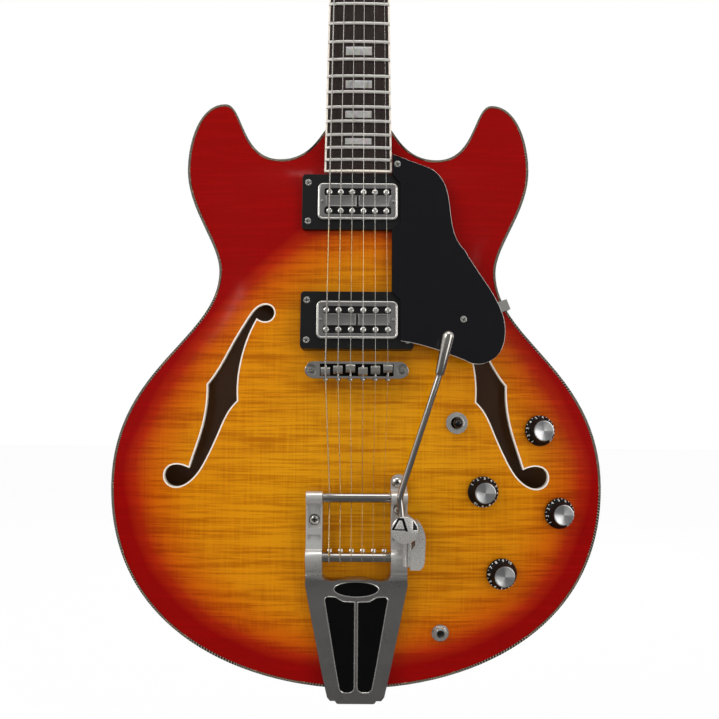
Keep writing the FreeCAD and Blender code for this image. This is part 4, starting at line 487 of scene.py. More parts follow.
def mapleTop():
    finish = Finish("mapleTop", {"Coat Weight": 0.28, "Coat Roughness": 0.1, "Roughness": 0.5,
                                 "Specular IOR Level": 0.0})
    field = burstField(finish) + finish.noise(finish.coords(), 14.0) * 0.05 - 0.025
    base = finish.ramp(field - 0.3, (0.0, burstSet["honey"]), (0.5, burstSet["amber"]),
                       (0.66, burstSet["orange"]), (0.74, burstSet["scarlet"]),
                       (0.80, burstSet["cherry"]))
    figure = finish.spread(flameFigure(finish), 0.37, 0.58)
    dark = finish.mix(1.0, base, colour(210, 186, 160), "MULTIPLY")
    hidden = finish.spread(field, 0.98, 1.1, 0.0, 0.72)
    figured = finish.mix(figure.atLeast(hidden), dark, base)
    isOutside = finish.facing("Y", -0.02, 0.02)
    finish.feed("Base Color", finish.mix(isOutside, figured, bareWood))
    return finish.material


def innerSide(finish):
    # 1 on the bare inside of the back, whose faces look to the front behind the rim's middle
    _, depth, _ = finish.inMm()
    return (1 - finish.facing("Y", -0.3, -0.2)) * depth.above(frontY + 30)


def cherryMaple():
    finish = Finish("cherryMaple", {"Coat Weight": 0.5, "Coat Roughness": 0.04, "Roughness": 0.5,
                                    "Specular IOR Level": 0.0})
    figure = finish.spread(flameFigure(finish), 0.34, 0.64)
    stained = finish.mix(figure, colour(96, 8, 6), colour(132, 14, 9))
    finish.feed("Base Color", finish.mix(innerSide(finish), stained, bareWood))
    return finish.material


def ropeEdge():
    # a twisted rope of dark and pale strands with a black line inside it
    finish = Finish("ropeEdge", {"Coat Weight": 0.15, "Coat Roughness": 0.08, "Roughness": 0.5,
                                 "Specular IOR Level": 0.25})
    along = finish.node("ShaderNodeAttribute", {"attribute_name": "along"}, {}, "Fac")
    inward = finish.node("ShaderNodeAttribute", {"attribute_name": "inward"}, {}, "Fac")
    _, y, _ = finish.inMm()
    lay = finish.node("ShaderNodeMath", {"operation": "FRACT"},
                      {0: (along + y * 0.9 + inward * 1.4) / 2.8})
    strand = finish.spread(abs(lay - 0.5), 0.12, 0.2)
    faded = finish.noise(finish.coords(), 240.0, 2.0)
    pale = finish.mix(faded, colour(122, 116, 100), colour(168, 162, 142))
    rope = finish.mix(strand, pale, colour(28, 25, 23))
    lined = finish.mix(inward.above(0.6), rope, colour(150, 124, 98))
    finish.feed("Base Color", finish.mix(inward.above(0.84), lined, colour(22, 12, 10)))
    finish.relief(strand, 0.1, 0.0003)
    return finish.material


def spunCap():
    # fine turning rings round the middle of the cap, over a painted bow-tie highlight
    finish = Finish("spunCap", {"Metallic": 0.6, "Roughness": 0.3})
    place = finish.node("ShaderNodeUVMap", {"uv_map": "spun"}, {}, "UV")
    x, y, _ = finish.axes(place)
    radius = ((x - 0.5) ** 2 + (y - 0.5) ** 2) ** 0.5
    rings = finish.node("ShaderNodeTexNoise", {"noise_dimensions": "1D"},
                        {"W": radius * 900.0, "Scale": 1.0, "Detail": 2.0}, "Fac")
    # painted highlight: bright and dark wedges by angle round the middle, a bow tie of reflected
    # light painted into the colour
    angle = finish.node("ShaderNodeMath", {"operation": "ARCTAN2"}, {0: y - 0.5, 1: x - 0.5})
    twice = finish.node("ShaderNodeMath", {"operation": "COSINE"}, {0: angle * 2.0 - 1.3})
    rays = finish.node("ShaderNodeTexNoise", {"noise_dimensions": "1D"},
                       {"W": angle * 3.0, "Scale": 1.0, "Detail": 3.0}, "Fac")
    paintedHighlight = finish.spread(twice * 0.6 + rays, 0.1, 1.0)
    shade = finish.mix(paintedHighlight, colour(128, 128, 128), colour(206, 206, 205))
    finish.feed("Base Color", finish.mix(rings * 0.3, shade, colour(120, 120, 119)))
    finish.feed("Roughness", rings * 0.12 + 0.24)
    finish.relief(rings, 0.2, 0.00006)
    return finish.material


castingSet = {"armsLow": -168, "armsHigh": -150}


def brushedCasting():
    # aluminium with fine lines down its length and a slight unevenness, and a painted highlight
    # that makes the arms above the plate lighter and less metallic
    finish = Finish("brushedCasting", {})
    lines = finish.noise(finish.coords(scale=(2600, 900, 60)), 1.0, 3.0, 0.6)
    cloud = finish.noise(finish.coords(), 55.0, 3.0)
    _, _, up = finish.inMm((0, 0, -bridgeZ))
    # painted highlight: above this height the arms are painted lighter than the plate
    paintedLightArms = finish.spread(up, castingSet["armsLow"], castingSet["armsHigh"])
    plate = finish.mix(cloud, colour(160, 158, 155), colour(182, 180, 177))
    finish.feed("Base Color", finish.mix(paintedLightArms, plate, colour(206, 204, 200)))
    finish.feed("Metallic", 0.96 - paintedLightArms * 0.3)
    finish.feed("Roughness", lines * 0.1 + cloud * 0.08 + 0.2)
    finish.relief(lines, 0.12, 0.00012)
    return finish.material


def woundWire():
    # the three heavy strings are wound, the light ones plain
    finish = Finish("woundWire", {"Metallic": 1.0})
    x, _, up = finish.inMm()
    heavy = finish.node("ShaderNodeMath", {"operation": "LESS_THAN"}, {0: x, 1: 0.0})
    turn = finish.node("ShaderNodeMath", {"operation": "SINE"}, {0: up * 12.0})
    dull = finish.noise(finish.coords(), 130.0, 2.0)
    worn = finish.mix(dull, colour(142, 139, 133), colour(172, 168, 162))
    clean = finish.mix(heavy, colour(180, 177, 172), worn)
    # painted reflection: the strings are painted golden where the lacquered maple would show in
    # them from below, where no pickup or fretboard is in between
    belowBridge = 1 - finish.spread(up, bridgeZ - 14, bridgeZ - 8)
    betweenPickups = (finish.spread(up, bridgeZ + 63, bridgeZ + 66)
                      * (1 - finish.spread(up, bridgeZ + 115, bridgeZ + 118)))
    paintedReflection = (belowBridge + betweenPickups) * 0.8
    finish.feed("Base Color", finish.mix(paintedReflection, clean, colour(206, 170, 104)))
    finish.feed("Roughness", dull * 0.12 + 0.2)
    finish.relief(turn * heavy, 0.5, 0.00008)
    return finish.material


def rosewood():
    finish = Finish("rosewood", {"Specular IOR Level": 0.12})
    grain = finish.noise(finish.coords(scale=(900, 900, 26)), 1.0, 4.0, 0.65)
    pores = finish.noise(finish.coords(scale=(2400, 2400, 130), shift=(2, 1, 5)), 1.0, 2.0)
    pore = finish.spread(pores, 0.6, 0.7)
    wood = finish.ramp(grain, (0.25, colour(24, 19, 18)), (0.6, colour(44, 35, 32)),
                       (0.85, colour(62, 49, 43)))
    finish.feed("Base Color", finish.mix(pore, wood, colour(20, 14, 13)))
    finish.feed("Roughness", grain * 0.18 + 0.42)
    finish.relief(pore, -0.25, 0.0002)
    return finish.material


def pearlInlay():
    finish = Finish("pearlInlay", {"Coat Weight": 0.8, "Coat Roughness": 0.08, "Roughness": 0.3})
    swirl = finish.noise(finish.coords(scale=(160, 160, 70)), 1.0, 4.0, 0.7)
    flakes = finish.cells(finish.coords(), 420.0, output="Color")
    cloud = finish.ramp(swirl, (0.3, colour(116, 115, 115)), (0.5, colour(164, 161, 157)),
                        (0.72, colour(138, 136, 140)))
    finish.feed("Base Color", finish.mix(0.12, cloud, flakes, "SOFT_LIGHT"))
    return finish.material


def plainFinish(name, shade, roughness, coat=0.0, metallic=0.0, gloss=0.5):
    # a worked surface with faint patches of colour and uneven gloss
    finish = Finish(name, {"Metallic": metallic, "Coat Weight": coat, "Coat Roughness": 0.05,
                           "Specular IOR Level": gloss})
    patches = finish.noise(finish.coords(), 60.0, 3.0)
    fine = finish.noise(finish.coords(), 900.0, 2.0)
    darker = [channel * 0.86 for channel in shade[:3]] + [1.0]
    finish.feed("Base Color", finish.mix(patches, darker, shade))
    finish.feed("Roughness", patches * 0.08 + fine * 0.06 + (roughness - 0.07))
    finish.relief(fine, 0.015 if metallic else 0.05, 0.0002)
    return finish.material


finishes = {
    "mapleTop": mapleTop(),
    "cherryMaple": cherryMaple(),
    "innerWood": plainFinish("innerWood", colour(120, 84, 52), 0.7),
    "rope": ropeEdge(),
    "cream": plainFinish("cream", colour(240, 229, 214), 0.35, coat=0.3),
    "neckWood": plainFinish("neckWood", colour(104, 14, 9), 0.4, coat=0.45, gloss=0.25),
    "blackGloss": plainFinish("blackGloss", colour(13, 12, 13), 0.2, coat=0.3, gloss=0.2),
    "fingerboard": rosewood(),
    "guardBlack": plainFinish("guardBlack", colour(12, 12, 16), 0.24, coat=0.15, gloss=0.2),
    "guardEdge": plainFinish("guardEdge", colour(236, 234, 228), 0.5),
    # painted shade: a dark matte finish put on cut edges and slots that lie in shade
    "paintedShade": plainFinish("paintedShade", colour(12, 12, 13), 0.9, gloss=0.1),
    "knobBlack": plainFinish("knobBlack", colour(12, 12, 13), 0.5, gloss=0.15),
    "dialWhite": plainFinish("dialWhite", colour(236, 234, 228), 0.5),
    "spunCap": spunCap(),
    "coverChrome": plainFinish("coverChrome", colour(150, 148, 146), 0.3, metallic=0.9),
    "brightNickel": plainFinish("brightNickel", colour(206, 203, 197), 0.24, metallic=0.8),
    "fretWire": plainFinish("fretWire", colour(196, 192, 186), 0.4, metallic=0.6),
    # the black of the vibrato insets, also used as painted shade in the bridge's trough
    "insetBlackAndShade": plainFinish("insetBlackAndShade", colour(7, 7, 8), 0.34, gloss=0.12),
    "nickel": plainFinish("nickel", colour(188, 184, 178), 0.22, metallic=1.0),
    "steelStrip": plainFinish("steelStrip", colour(132, 130, 126), 0.32, metallic=0.9),
    "softNickel": plainFinish("softNickel", colour(190, 187, 182), 0.28, metallic=0.45),
    "barNickel": plainFinish("barNickel", colour(178, 174, 168), 0.15, metallic=1.0),
    "satinCasting": brushedCasting(),
    "pearl": pearlInlay(),
    "bone": plainFinish("bone", colour(228, 222, 200), 0.4),
    "ringPlastic": plainFinish("ringPlastic", colour(13, 13, 13), 0.34, gloss=0.3),
    "wire": plainFinish("wire", colour(190, 184, 172), 0.28, metallic=1.0),
    "windings": woundWire(),
}
slotFinish = {
    "top_maple": "mapleTop", "body_maple": "cherryMaple", "inner_wood": "innerWood",
    "purfling": "rope", "cream_binding": "cream", "neck_wood": "neckWood",
    "black_veneer": "blackGloss", "fretboard_wood": "fingerboard", "fret_nickel": "fretWire",
    "pearl": "pearl", "bone": "bone", "rod_steel": "nickel", "black_plate": "blackGloss",
    "screw_nickel": "brightNickel", "tuner_chrome": "nickel", "bracket_nickel": "steelStrip",
    "ring_black": "ringPlastic", "cover_chrome": "coverChrome", "bobbin_black": "ringPlastic",
    "pole_nickel": "nickel", "base_nickel": "nickel", "bridge_nickel": "nickel",
    "vibrato_aluminium": "satinCasting", "inset_black": "blackGloss", "vibrato_steel": "softNickel",
    "button_nickel": "nickel", "jack_nickel": "brightNickel", "switch_black": "blackGloss",
    "pot_steel": "nickel", "knob_black": "blackGloss", "string_steel": "wire",
}
for row in frame["record"]["subparts"]:
    node = frame["nodes"][row["node"]]
    node.data.materials.clear()
    node.data.materials.append(finishes[slotFinish[row["material_slot"]]])


# Body edge: the rope inlay follows the outline by its running length

edgeSet = {"bevel": 0.3, "step": 1.2, "reach": 1.3}


def edgeRuns(piece):
    # gives each point its distance along the outline, in mm, and marks the inner side
    mesh = piece.data
    wood = frame["nodes"]["body_top"].data.vertices
    tree = KDTree(len(wood))
    for point in wood:
        tree.insert(point.co, point.index)
    tree.balance()
    inside = mesh.attributes.new("inward", "FLOAT", "POINT")
    for point in mesh.vertices:
        gap = tree.find(point.co)[2]
        inside.data[point.index].value = 1.0 if gap < edgeSet["reach"] * mm else 0.0
    outline = [Vector((point.co.x, point.co.z)) / mm for point in mesh.vertices]
    centre = Vector((0, bridgeZ - 20))
    order = sorted(range(len(outline)),
                   key=lambda index: math.atan2(*(outline[index] - centre)))
    runs = mesh.attributes.new("along", "FLOAT", "POINT")
    travelled = 0.0
    before = outline[order[0]]
    for index in order:
        step = (outline[index] - before).length
        if step > edgeSet["step"]:
            travelled += step
            before = outline[index]
        runs.data[index].value = travelled


def addBodyEdge():
    edging = dressedCopy("body_bindings", edgeSet["bevel"], "rope")
    edgeRuns(edging)


# Pickguard

guardSet = {"bevel": 0.85, "innerSide": 36.0}


def addPickguard():
    # black on its faces, with the white layer showing round the cut edge on the outer side, and
    # painted shade on the cut edges of the inner side
    guard = dressedCopy("pickguard", guardSet["bevel"], "guardBlack", angle=50)
    guard.data.materials.append(finishes["guardEdge"])
    guard.data.materials.append(finishes["paintedShade"])
    facing = Vector((0, -math.cos(math.radians(stringSlope)), -math.sin(math.radians(stringSlope))))
    toBody = bodyPlace.inverted()
    for face in guard.data.polygons:
        across = (toBody @ face.center).x
        if abs(face.normal.dot(facing)) < 0.94:
            face.material_index = 1 if across > guardSet["innerSide"] else 2
    dressedCopy("pickguard_bracket", 0.3)


# Pickups

ringOut = 24.76      # height of the ring plane over the rim at the bridge

pickupSet = {"ups": {"neck": 140.4, "bridge": 41.7}, "spreads": {"neck": 47.0, "bridge": 50.0},
             "coverWidth": 66.0, "coverLength": 31.0, "rise": 1.6, "lip": 0.95, "corner": 3.4,
             "rowPitch": 16.0, "barWidth": 25.4, "barLength": 9.2, "barSide": 13.5,
             "screwRadius": 2.55, "endRadius": 1.35, "endSide": 29.4,
             "turns": (12, 158, 75, 31, 122, 97, 49, 140, 5, 84, 170, 62)}


def pickupPlace(up):
    out = ringOut - math.tan(math.radians(stringSlope)) * (up - 0.75)
    return bodyPlace @ shifted(0, up, out) @ turned(-stringSlope, "X")


def slottedScrew(radius, height, slot):
    # a domed head with a cut across it
    head = lathe([(radius, -0.9), (radius, height * 0.3), (radius * 0.93, height * 0.62),
                  (radius * 0.72, height * 0.88), (radius * 0.36, height)], 28)
    deselectAll()
    bpy.ops.mesh.primitive_cube_add(size=1.0, location=(0, 0, height))
    cutter = bpy.context.object
    cutter.scale = (radius * 3, slot, height * 1.1)
    bpy.ops.object.transform_apply(location=True, rotation=True, scale=True)
    return softenEdges(cutAway(head, cutter), 0.07, 40)


def coverLip():
    half = pickupSet["coverWidth"] / 2 - pickupSet["lip"]
    reach = pickupSet["coverLength"] / 2 - pickupSet["lip"]
    corner = pickupSet["corner"]
    points = []
    for quarter in range(4):
        side = 1 if quarter in (0, 3) else -1
        end = 1 if quarter < 2 else -1
        for step in range(7):
            angle = math.radians(90 * quarter + 15 * step)
            points.append((side * (half - corner) + corner * math.cos(angle),
                           end * (reach - corner) + corner * math.sin(angle), 0))
    lip = pipe(points, pickupSet["lip"], cyclic=True)
    lip.data.transform(shifted(0, 0, pickupSet["rise"] - 0.25) @ Matrix.Diagonal((1, 1, 0.75, 1)))
    return lip


def coverBar():
    width = pickupSet["barWidth"]
    length = pickupSet["barLength"]
    bar = slab(width, length, -0.4, 0.75, 1.0)
    choose(bar, "FACE", lambda face: face.normal.z > 0.9)
    bpy.ops.mesh.inset(thickness=0.75, depth=0)
    bpy.ops.mesh.extrude_region_move(TRANSFORM_OT_translate={"value": (0, 0, -0.35)})
    bpy.ops.object.mode_set(mode="OBJECT")
    return softenEdges(bar, 0.14, 40)


def addPickups():
    dressedCopy("pickup_rings", 0.5)
    dressedCopy("pickup_covers", 0.15)
    pole = slottedScrew(pickupSet["screwRadius"], 1.5, 0.75)
    endScrew = slottedScrew(pickupSet["endRadius"], 0.7, 0.45)
    bar = coverBar()
    lip = coverLip()
    # painted shade: a dark strip in the slot between the two bars of each cover
    shade = slab(2 * (pickupSet["barSide"] - pickupSet["barWidth"] / 2), pickupSet["barLength"],
                 pickupSet["rise"] - 0.3, pickupSet["rise"] + 0.12, 0.2)
    trims, lips, shades, poles = [], [], [], []
    for name, up in pickupSet["ups"].items():
        place = pickupPlace(up)
        rise = pickupSet["rise"]
        lips.append(copyOf(lip, place))
        shades.append(copyOf(shade, place))
        parts = []
        for side in (-1, 1):
            parts.append(copyOf(bar, shifted(side * pickupSet["barSide"], 0, rise)))
            spot = shifted(side * pickupSet["endSide"], 0, rise + 0.1) @ turned(40 * side)
            parts.append(copyOf(endScrew, spot))
        trim = joined(parts)
        trim.data.transform(place)
        trims.append(trim)
        for row in (-1, 1):
            for index in range(6):
                x = (index / 5 - 0.5) * pickupSet["spreads"][name]
                turn = pickupSet["turns"][index + 3 * (row + 1)]
                spot = shifted(x, row * pickupSet["rowPitch"] / 2, rise - 0.9) @ turned(turn)
                poles.append(copyOf(pole, place @ spot))
    for model in (pole, endScrew, bar, lip, shade):
        bpy.data.objects.remove(model, do_unlink=True)
    settle(joined(trims), "coverTrim", "coverChrome", asPlaced, "root")
    settle(joined(lips), "coverLips", "brightNickel", asPlaced, "root")
    settle(joined(shades), "coverSlotShades", "paintedShade", asPlaced, "root")
    settle(joined(poles), "poleScrews", "brightNickel", asPlaced, "root",
           ["pickup_pole_screws"])


# Knobs and the switch

knobSet = {"skirt": 12.5, "shoulder": 9.7, "cap": 8.3, "low": 1.2, "top": 12.2,
           "numberSize": 3.5, "ringRadius": 11.15, "slope": 46, "firstNumber": 210, "step": 30,
           "grips": 24, "gripRadius": 9.5,
           "spins": {"neck_volume": 20, "bridge_volume": -64, "neck_tone": 8, "bridge_tone": 118}}


def dialRing():
    # the numbers 1 to 10 with a dot between them, laid on the sloping skirt
    marks = []
    middle = knobSet["low"] + 3.3
    for count in range(10):
        angle = knobSet["firstNumber"] - count * knobSet["step"]
        onSkirt = (turned(angle) @ shifted(knobSet["ringRadius"], 0, middle)
                   @ turned(knobSet["slope"], "Y") @ turned(-90))
        deselectAll()
        bpy.ops.object.text_add()
        text = bpy.context.object
        text.data.body = str(count + 1)
        text.data.size = knobSet["numberSize"]
        text.data.align_x = "CENTER"
        text.data.align_y = "CENTER"
        text.data.extrude = 0.05
        bpy.ops.object.convert(target="MESH")
        mark = bpy.context.object
        mark.data.transform(onSkirt @ shifted(0, 0, 0.05))
        marks.append(mark)
        if count < 9:
            between = (turned(angle - knobSet["step"] / 2)
                       @ shifted(knobSet["ringRadius"] + 0.95, 0, middle - 0.85)
                       @ turned(knobSet["slope"], "Y"))
            dot = lathe([(0.36, -0.1), (0.36, 0.08), (0.24, 0.16)], 12)
            dot.data.transform(between)
            marks.append(dot)
    return joined(marks)


def knobShell():
    low = knobSet["low"]
    top = knobSet["top"]
    skirt = knobSet["skirt"]
    shoulder = knobSet["shoulder"]
    cap = knobSet["cap"]
    shell = lathe([(skirt - 0.6, low), (skirt, low + 0.4), (skirt, low + 1.5),
                   (skirt - 0.35, low + 2.0), (shoulder, low + 4.6), (shoulder - 0.2, low + 5.1),
                   (cap + 0.35, top - 1.3), (cap + 0.15, top - 0.75), (cap - 0.2, top - 0.62)], 96)
    # shallow grips round the neck, pressed in between the skirt and the cap
    grips = []
    for count in range(knobSet["grips"]):
        cut = lathe([(0.42, low + 5.6), (0.42, top - 1.9)], 10)
        cut.data.transform(turned(count * 360 / knobSet["grips"]) @ turned(-9, "Y")
                           @ shifted(knobSet["gripRadius"], 0, 1.4))
        grips.append(cut)
    return cutAway(shell, joined(grips))


def knobCap():
    cap = knobSet["cap"]
    top = knobSet["top"]
    disc = lathe([(cap, top - 0.7), (cap, top - 0.15), (cap - 0.35, top), (cap - 0.9, top + 0.02),
                  (cap - 1.1, top - 0.08), (0.8, top - 0.08)], 96)
    spun = disc.data.uv_layers.new(name="spun")
    for loop in disc.data.loops:
        x, y, _ = disc.data.vertices[loop.vertex_index].co
        spun.data[loop.index].uv = (x / 20 + 0.5, y / 20 + 0.5)
    return disc


def addKnobs():
    shell, cap, dial = knobShell(), knobCap(), dialRing()
    for name, spin in knobSet["spins"].items():
        place = jointPlace(name + "_turn") @ turned(spin)
        body = bodyOf["knob_" + name]
        settle(copyOf(shell), "knobShell_" + name, "knobBlack", place, body,
               ["knob_" + name])
        settle(copyOf(cap), "knobCap_" + name, "spunCap",
               jointPlace(name + "_turn"), body)
        settle(copyOf(dial), "knobDial_" + name, "dialWhite", place, body)
    for model in (shell, cap, dial):
        bpy.data.objects.remove(model, do_unlink=True)


# Strings: what is wound at both ends

stringSet = {"gauges": (1.17, 0.9, 0.66, 0.43, 0.33, 0.25), "turnsOnPost": 3.2, "postRadius": 3.0,
             "postHeight": 9.5, "axleRadius": 3.8, "axleSpread": 43.7, "axleSide": 0.8}


def addPostWindings():
    # each string leaves its post on the inner side and is wound down towards the bushing
    for number in range(1, 7):
        gauge = stringSet["gauges"][number - 1 if number < 4 else 9 - number]
        hand = 1 if number < 4 else -1
        place = jointPlace("post_%d_turn" % number)
        reach = stringSet["postRadius"] + gauge / 2 + 0.02
        inward = place.inverted() @ Vector((0, place.translation.y, place.translation.z))
        start = math.atan2(inward.y, inward.x)
        points = []
        for step in range(int(stringSet["turnsOnPost"] * coilSteps) + 1):
            angle = start - hand * math.tau * step / coilSteps
            drop = gauge * 1.06 * step / coilSteps
            points.append((reach * math.cos(angle), reach * math.sin(angle),
                           stringSet["postHeight"] - drop))
        coil = pipe(points, gauge / 2, sides=3)
        settle(coil, "postWinding_%d" % number, "wire", place, "post_%d" % number)


def addStringEnds():
    # the balls of the strings hang on the axle's pins, with the loop twisted on each
    ball = lathe([(0.9, -1.0), (1.35, -1.0), (1.4, -0.85), (1.4, 0.85), (1.35, 1.0), (0.9, 1.0)],
                 24)
    ends = []
    axle = joints["vibrato_rock"]["pos_m"]
    for index, gauge in enumerate(stringSet["gauges"]):
        x = (index / 5 - 0.5) * stringSet["axleSpread"] + stringSet["axleSide"]
        spot = Matrix.Translation((0, axle[1], axle[2])) @ Matrix.Scale(mm, 4)
        onPin = shifted(x - 0.4, 2.4, 4.8)
        ends.append(copyOf(ball, spot @ onPin @ turned(-27, "X")))
        reach = stringSet["axleRadius"] + gauge / 2 + 0.05
        points = []
        for step in range(17):
            angle = math.radians(84 + 12 * step)
            points.append((x + 0.05 * step, -reach * math.sin(angle), reach * math.cos(angle)))
        wrap = pipe(points, gauge / 2, sides=3)
        wrap.data.transform(spot)
        ends.append(wrap)
    bpy.data.objects.remove(ball, do_unlink=True)
    settle(joined(ends), "stringEnds", "brightNickel", asPlaced, "vibrato_rocker")


def addStrings():
    strings = dressedCopy("strings", 0.0001, "windings", angle=60, segments=1, rides=False)
    low = joints["vibrato_rock"]["pos_m"]
    low[2] + 0.012
    low[2] + 0.002
    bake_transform(strings)


# Vibrato

springSet = {"radius": 6.0, "wire": 1.0, "turns": 4, "low": 13.2, "high": 29.7, "side": 38.0,
             "up": -123.3, "markCentre": (38.0, -123.3, 23.8), "markRadius": 22}


def addSpring():
    rise = springSet["high"] - springSet["low"] - 2 * springSet["wire"]
    points = []
    steps = springSet["turns"] * coilSteps
    for step in range(steps + 1):
        angle = math.tau * step / coilSteps
        height = springSet["low"] + springSet["wire"] + rise * step / steps
        points.append((springSet["side"] + springSet["radius"] * math.cos(angle),
                       springSet["up"] + springSet["radius"] * math.sin(angle), height))
    coil = pipe(points, springSet["wire"])
    coil = settle(coil, "pressureSpring", "brightNickel", bodyPlace,
                  None, ["vibrato_spring"])
    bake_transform(coil)


markSet = {"insetRim": 0.5, "headDepth": 0.8, "reach": 0.62, "width": 0.22, "spin": 37}


def addInsetRims():
    # the bright edge that the casting shows round each black inset
    rims = tidyMesh(freshCopy("vibrato_insets"), mergeGap)
    front = bodyPlace.to_3x3() @ Vector((0, 0, 1))
    front.normalize()
    choose(rims, "FACE", lambda face: face.normal.dot(front) < 0.6)
    bpy.ops.mesh.delete(type="FACE")
    bpy.ops.mesh.select_all(action="SELECT")
    bpy.ops.mesh.region_to_loop()
    bpy.ops.mesh.select_all(action="INVERT")
    bpy.ops.mesh.delete(type="EDGE_FACE")
    bpy.ops.object.mode_set(mode="OBJECT")
    bpy.ops.object.convert(target="CURVE")
    rims = bpy.context.object
    rims.data.bevel_depth = markSet["insetRim"] * mm
    rims.data.bevel_resolution = 2
    bpy.ops.object.convert(target="MESH")
    settle(bpy.context.object, "insetRims", "brightNickel", asPlaced, "root")


def addScrewSlotShades(node, width):
    # painted shade: a dark cross on each head where its slot would lie in shade, at the front of
    # every loose solid of the node
    heads = tidyMesh(freshCopy(node), mergeGap)
    pick(heads)
    bpy.ops.mesh.separate(type="LOOSE")
    toBody = bodyPlace.inverted()
    marks = []
    for count, head in enumerate(list(bpy.context.selected_objects)):
        points = [toBody @ point.co for point in head.data.vertices]
        out = max(point.z for point in points)
        face = [point for point in points if point.z > out - markSet["headDepth"]]
        across = sum(point.x for point in face) / len(face)
        rise = sum(point.y for point in face) / len(face)
        reach = max((point - Vector((across, rise, point.z))).length for point in face)
        reach *= markSet["reach"]
        for turn in (0, 90):
            cross = slab(reach * 2, width * reach * markSet["width"], -0.25, 0.04, 0.1)
            cross.data.transform(bodyPlace @ shifted(across, rise, out)
                                 @ turned(markSet["spin"] * count + turn))
            marks.append(cross)
        bpy.data.objects.remove(head, do_unlink=True)
    settle(joined(marks), node + "_slots", "paintedShade", asPlaced, "root")


def addVibrato():
    dressedCopy("vibrato_frame", 0.45, "satinCasting", angle=28, segments=3)
    bracket = dressedCopy("arm_bracket", 0.14, "softNickel")
    bracket.data.materials.append(finishes["insetBlackAndShade"])
    toBody = bodyPlace.inverted()
    for face in bracket.data.polygons:
        reach = toBody @ face.center - Vector(springSet["markCentre"])
        isGroove = abs(reach.length - springSet["markRadius"]) < 0.1 and reach.z > 18
        face.material_index = 1 if isGroove else 0
    dressedCopy("vibrato_arm", 0.3, "barNickel")
    dressedCopy("vibrato_screws", 0.3, "nickel")
    dressedCopy("string_axle", 0.35, "barNickel")
    dressedCopy("tension_bar", 0.35, "barNickel")
    dressedCopy("vibrato_insets", 0.3, "insetBlackAndShade")
    addInsetRims()
    addScrewSlotShades("vibrato_screws", 0.9)
    addSpring()


# Small hardware

softened = {"bridge_body": 0.45, "bridge_saddles": 0.18, "bridge_studs": 0.2,
            "bridge_thumbwheels": 0.3, "trim_screws": 0.06, "output_jack": 0.22,
            "switch_body": 0.22, "switch_lever": 0.15, "tuner_housings": 0.7,
            "tuner_bushings": 0.4, "truss_rod_cover": 0.35, "nut": 0.25, "frets": 0.22,
            "strap_buttons": 0.5, "headstock_veneer": 0.3, "fret_inlays": 0.02}

bridgeSet = {"wheelShare": 0.68, "floorDepth": 0.9, "floorSide": 31, "floorUp": 5.2}


def slimWheels(wheels):
    # the thumbwheels keep under the ends of the bridge
    for side in (-1, 1):
        rim = [point for point in wheels.data.vertices if point.co.x * side > 0]
        acrosses = [point.co.x for point in rim]
        rises = [point.co.z for point in rim]
        middle = Vector(((min(acrosses) + max(acrosses)) / 2, 0, (min(rises) + max(rises)) / 2))
        for point in rim:
            away = point.co - middle
            point.co.x = middle.x + away.x * bridgeSet["wheelShare"]
            point.co.z = middle.z + away.z * bridgeSet["wheelShare"]


def darkenTrough(bridge):
    # painted shade: the floor of the bridge, between the saddles, takes the black inset finish for
    # the dark it lies in
    bridge.data.materials.append(finishes["insetBlackAndShade"])
    toBody = bodyPlace.inverted()
    top = max((toBody @ point.co).z for point in bridge.data.vertices)
    for face in bridge.data.polygons:
        centre = toBody @ face.center
        isLow = centre.z < top - bridgeSet["floorDepth"] and face.normal.y < -0.7
        isInside = abs(centre.y) < bridgeSet["floorUp"] and abs(centre.x) < bridgeSet["floorSide"]
        face.material_index = 1 if isLow and isInside else 0


def addHardware():
    for node, edge in softened.items():
        piece = dressedCopy(node, edge)
        if node == "bridge_body":
            darkenTrough(piece)
        if node == "bridge_thumbwheels":
            slimWheels(piece)
    addScrewSlotShades("trim_screws", 1.0)
    for number in range(1, 7):
        dressedCopy("tuner_button_%d" % number, 0.25)
        dressedCopy("tuner_post_%d" % number, 0.2)


addBodyEdge()
addPickguard()
print("body: edge inlay and pickguard are on")
addPickups()
addKnobs()
print("controls: pickups and knobs are on")
addVibrato()
addHardware()
print("hardware: vibrato, bridge, tuners and small parts are on")
addStrings()
addPostWindings()
addStringEnds()
print("strings: strung")


# Stage

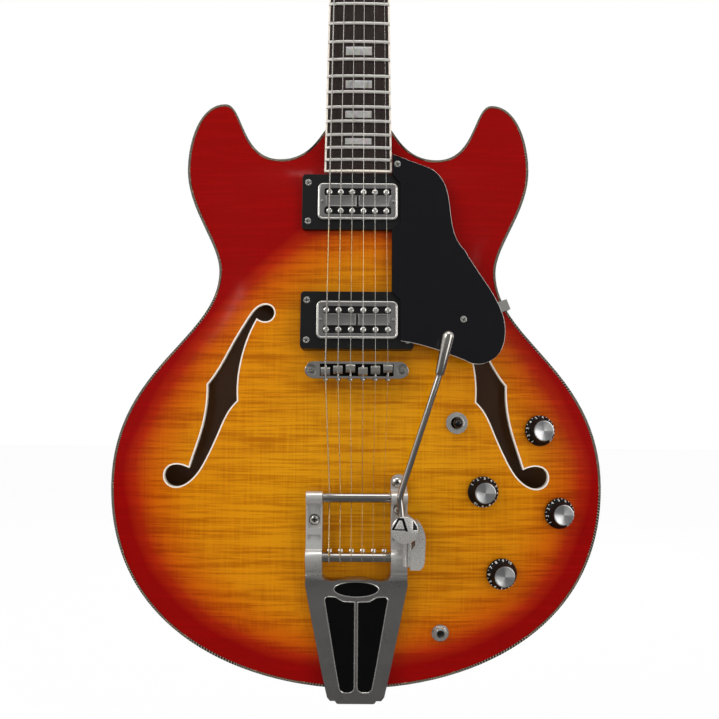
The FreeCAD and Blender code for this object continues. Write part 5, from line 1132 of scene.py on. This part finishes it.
def addStage():
    bpy.ops.mesh.primitive_plane_add(size=9.0, location=(0, 1.0, -1.02))
    floor = bpy.context.object
    floor.name = "studioFloor"
    finish = Finish("studioFloor", {"Base Color": colour(238, 238, 238), "Roughness": 0.9})
    camera = finish.node("ShaderNodeLightPath", {}, {}, "Is Camera Ray")
    _, depth, _ = finish.axes(finish.coords())
    bright = camera + finish.spread(depth, -0.35, 0.15)
    tone = finish.mix(bright, colour(108, 108, 108), colour(255, 255, 255))
    light = finish.node("ShaderNodeEmission", {}, {"Color": tone, "Strength": 1.0})
    seen = camera * 0.96 + camera.part("Is Glossy Ray")
    shaded = Wire(finish, finish.shader.outputs[0])
    blend = finish.node("ShaderNodeMixShader", {}, {0: seen, 1: shaded, 2: light})
    output = finish.tree.nodes["Material Output"]
    finish.tree.links.new(blend.socket, output.inputs["Surface"])
    floor.data.materials.append(finish.material)


def lightWorld():
    world = bpy.data.worlds.new("studio")
    world.use_nodes = True
    bpy.context.scene.world = world
    tree = world.node_tree
    background = tree.nodes["Background"]
    path = tree.nodes.new("ShaderNodeLightPath")
    direction = tree.nodes.new("ShaderNodeTexCoord")
    split = tree.nodes.new("ShaderNodeSeparateXYZ")
    tree.links.new(direction.outputs["Generated"], split.inputs[0])
    behind = tree.nodes.new("ShaderNodeMapRange")
    behind.interpolation_type = "SMOOTHSTEP"
    for name, value in {"From Min": -0.9, "From Max": -0.15, "To Min": 0.3, "To Max": 1.0}.items():
        behind.inputs[name].default_value = value
    tree.links.new(split.outputs["Y"], behind.inputs["Value"])
    glossy = tree.nodes.new("ShaderNodeMath")
    glossy.operation = "MAXIMUM"
    tree.links.new(path.outputs["Is Glossy Ray"], glossy.inputs[0])
    tree.links.new(path.outputs["Is Transmission Ray"], glossy.inputs[1])
    plain = tree.nodes.new("ShaderNodeMix")
    plain.inputs["A"].default_value = 0.44
    tree.links.new(glossy.outputs[0], plain.inputs["Factor"])
    tree.links.new(behind.outputs["Result"], plain.inputs["B"])
    seen = tree.nodes.new("ShaderNodeMix")
    seen.inputs["B"].default_value = 1.0
    tree.links.new(path.outputs["Is Camera Ray"], seen.inputs["Factor"])
    tree.links.new(plain.outputs["Result"], seen.inputs["A"])
    tree.links.new(seen.outputs["Result"], background.inputs["Strength"])
    background.inputs["Color"].default_value = (1, 1, 1, 1)


addCamera()
addLamps()
addStage()
lightWorld()
bpy.context.scene.view_settings.view_transform = "Standard"
print("stage: camera, lamps, floor and world are set")
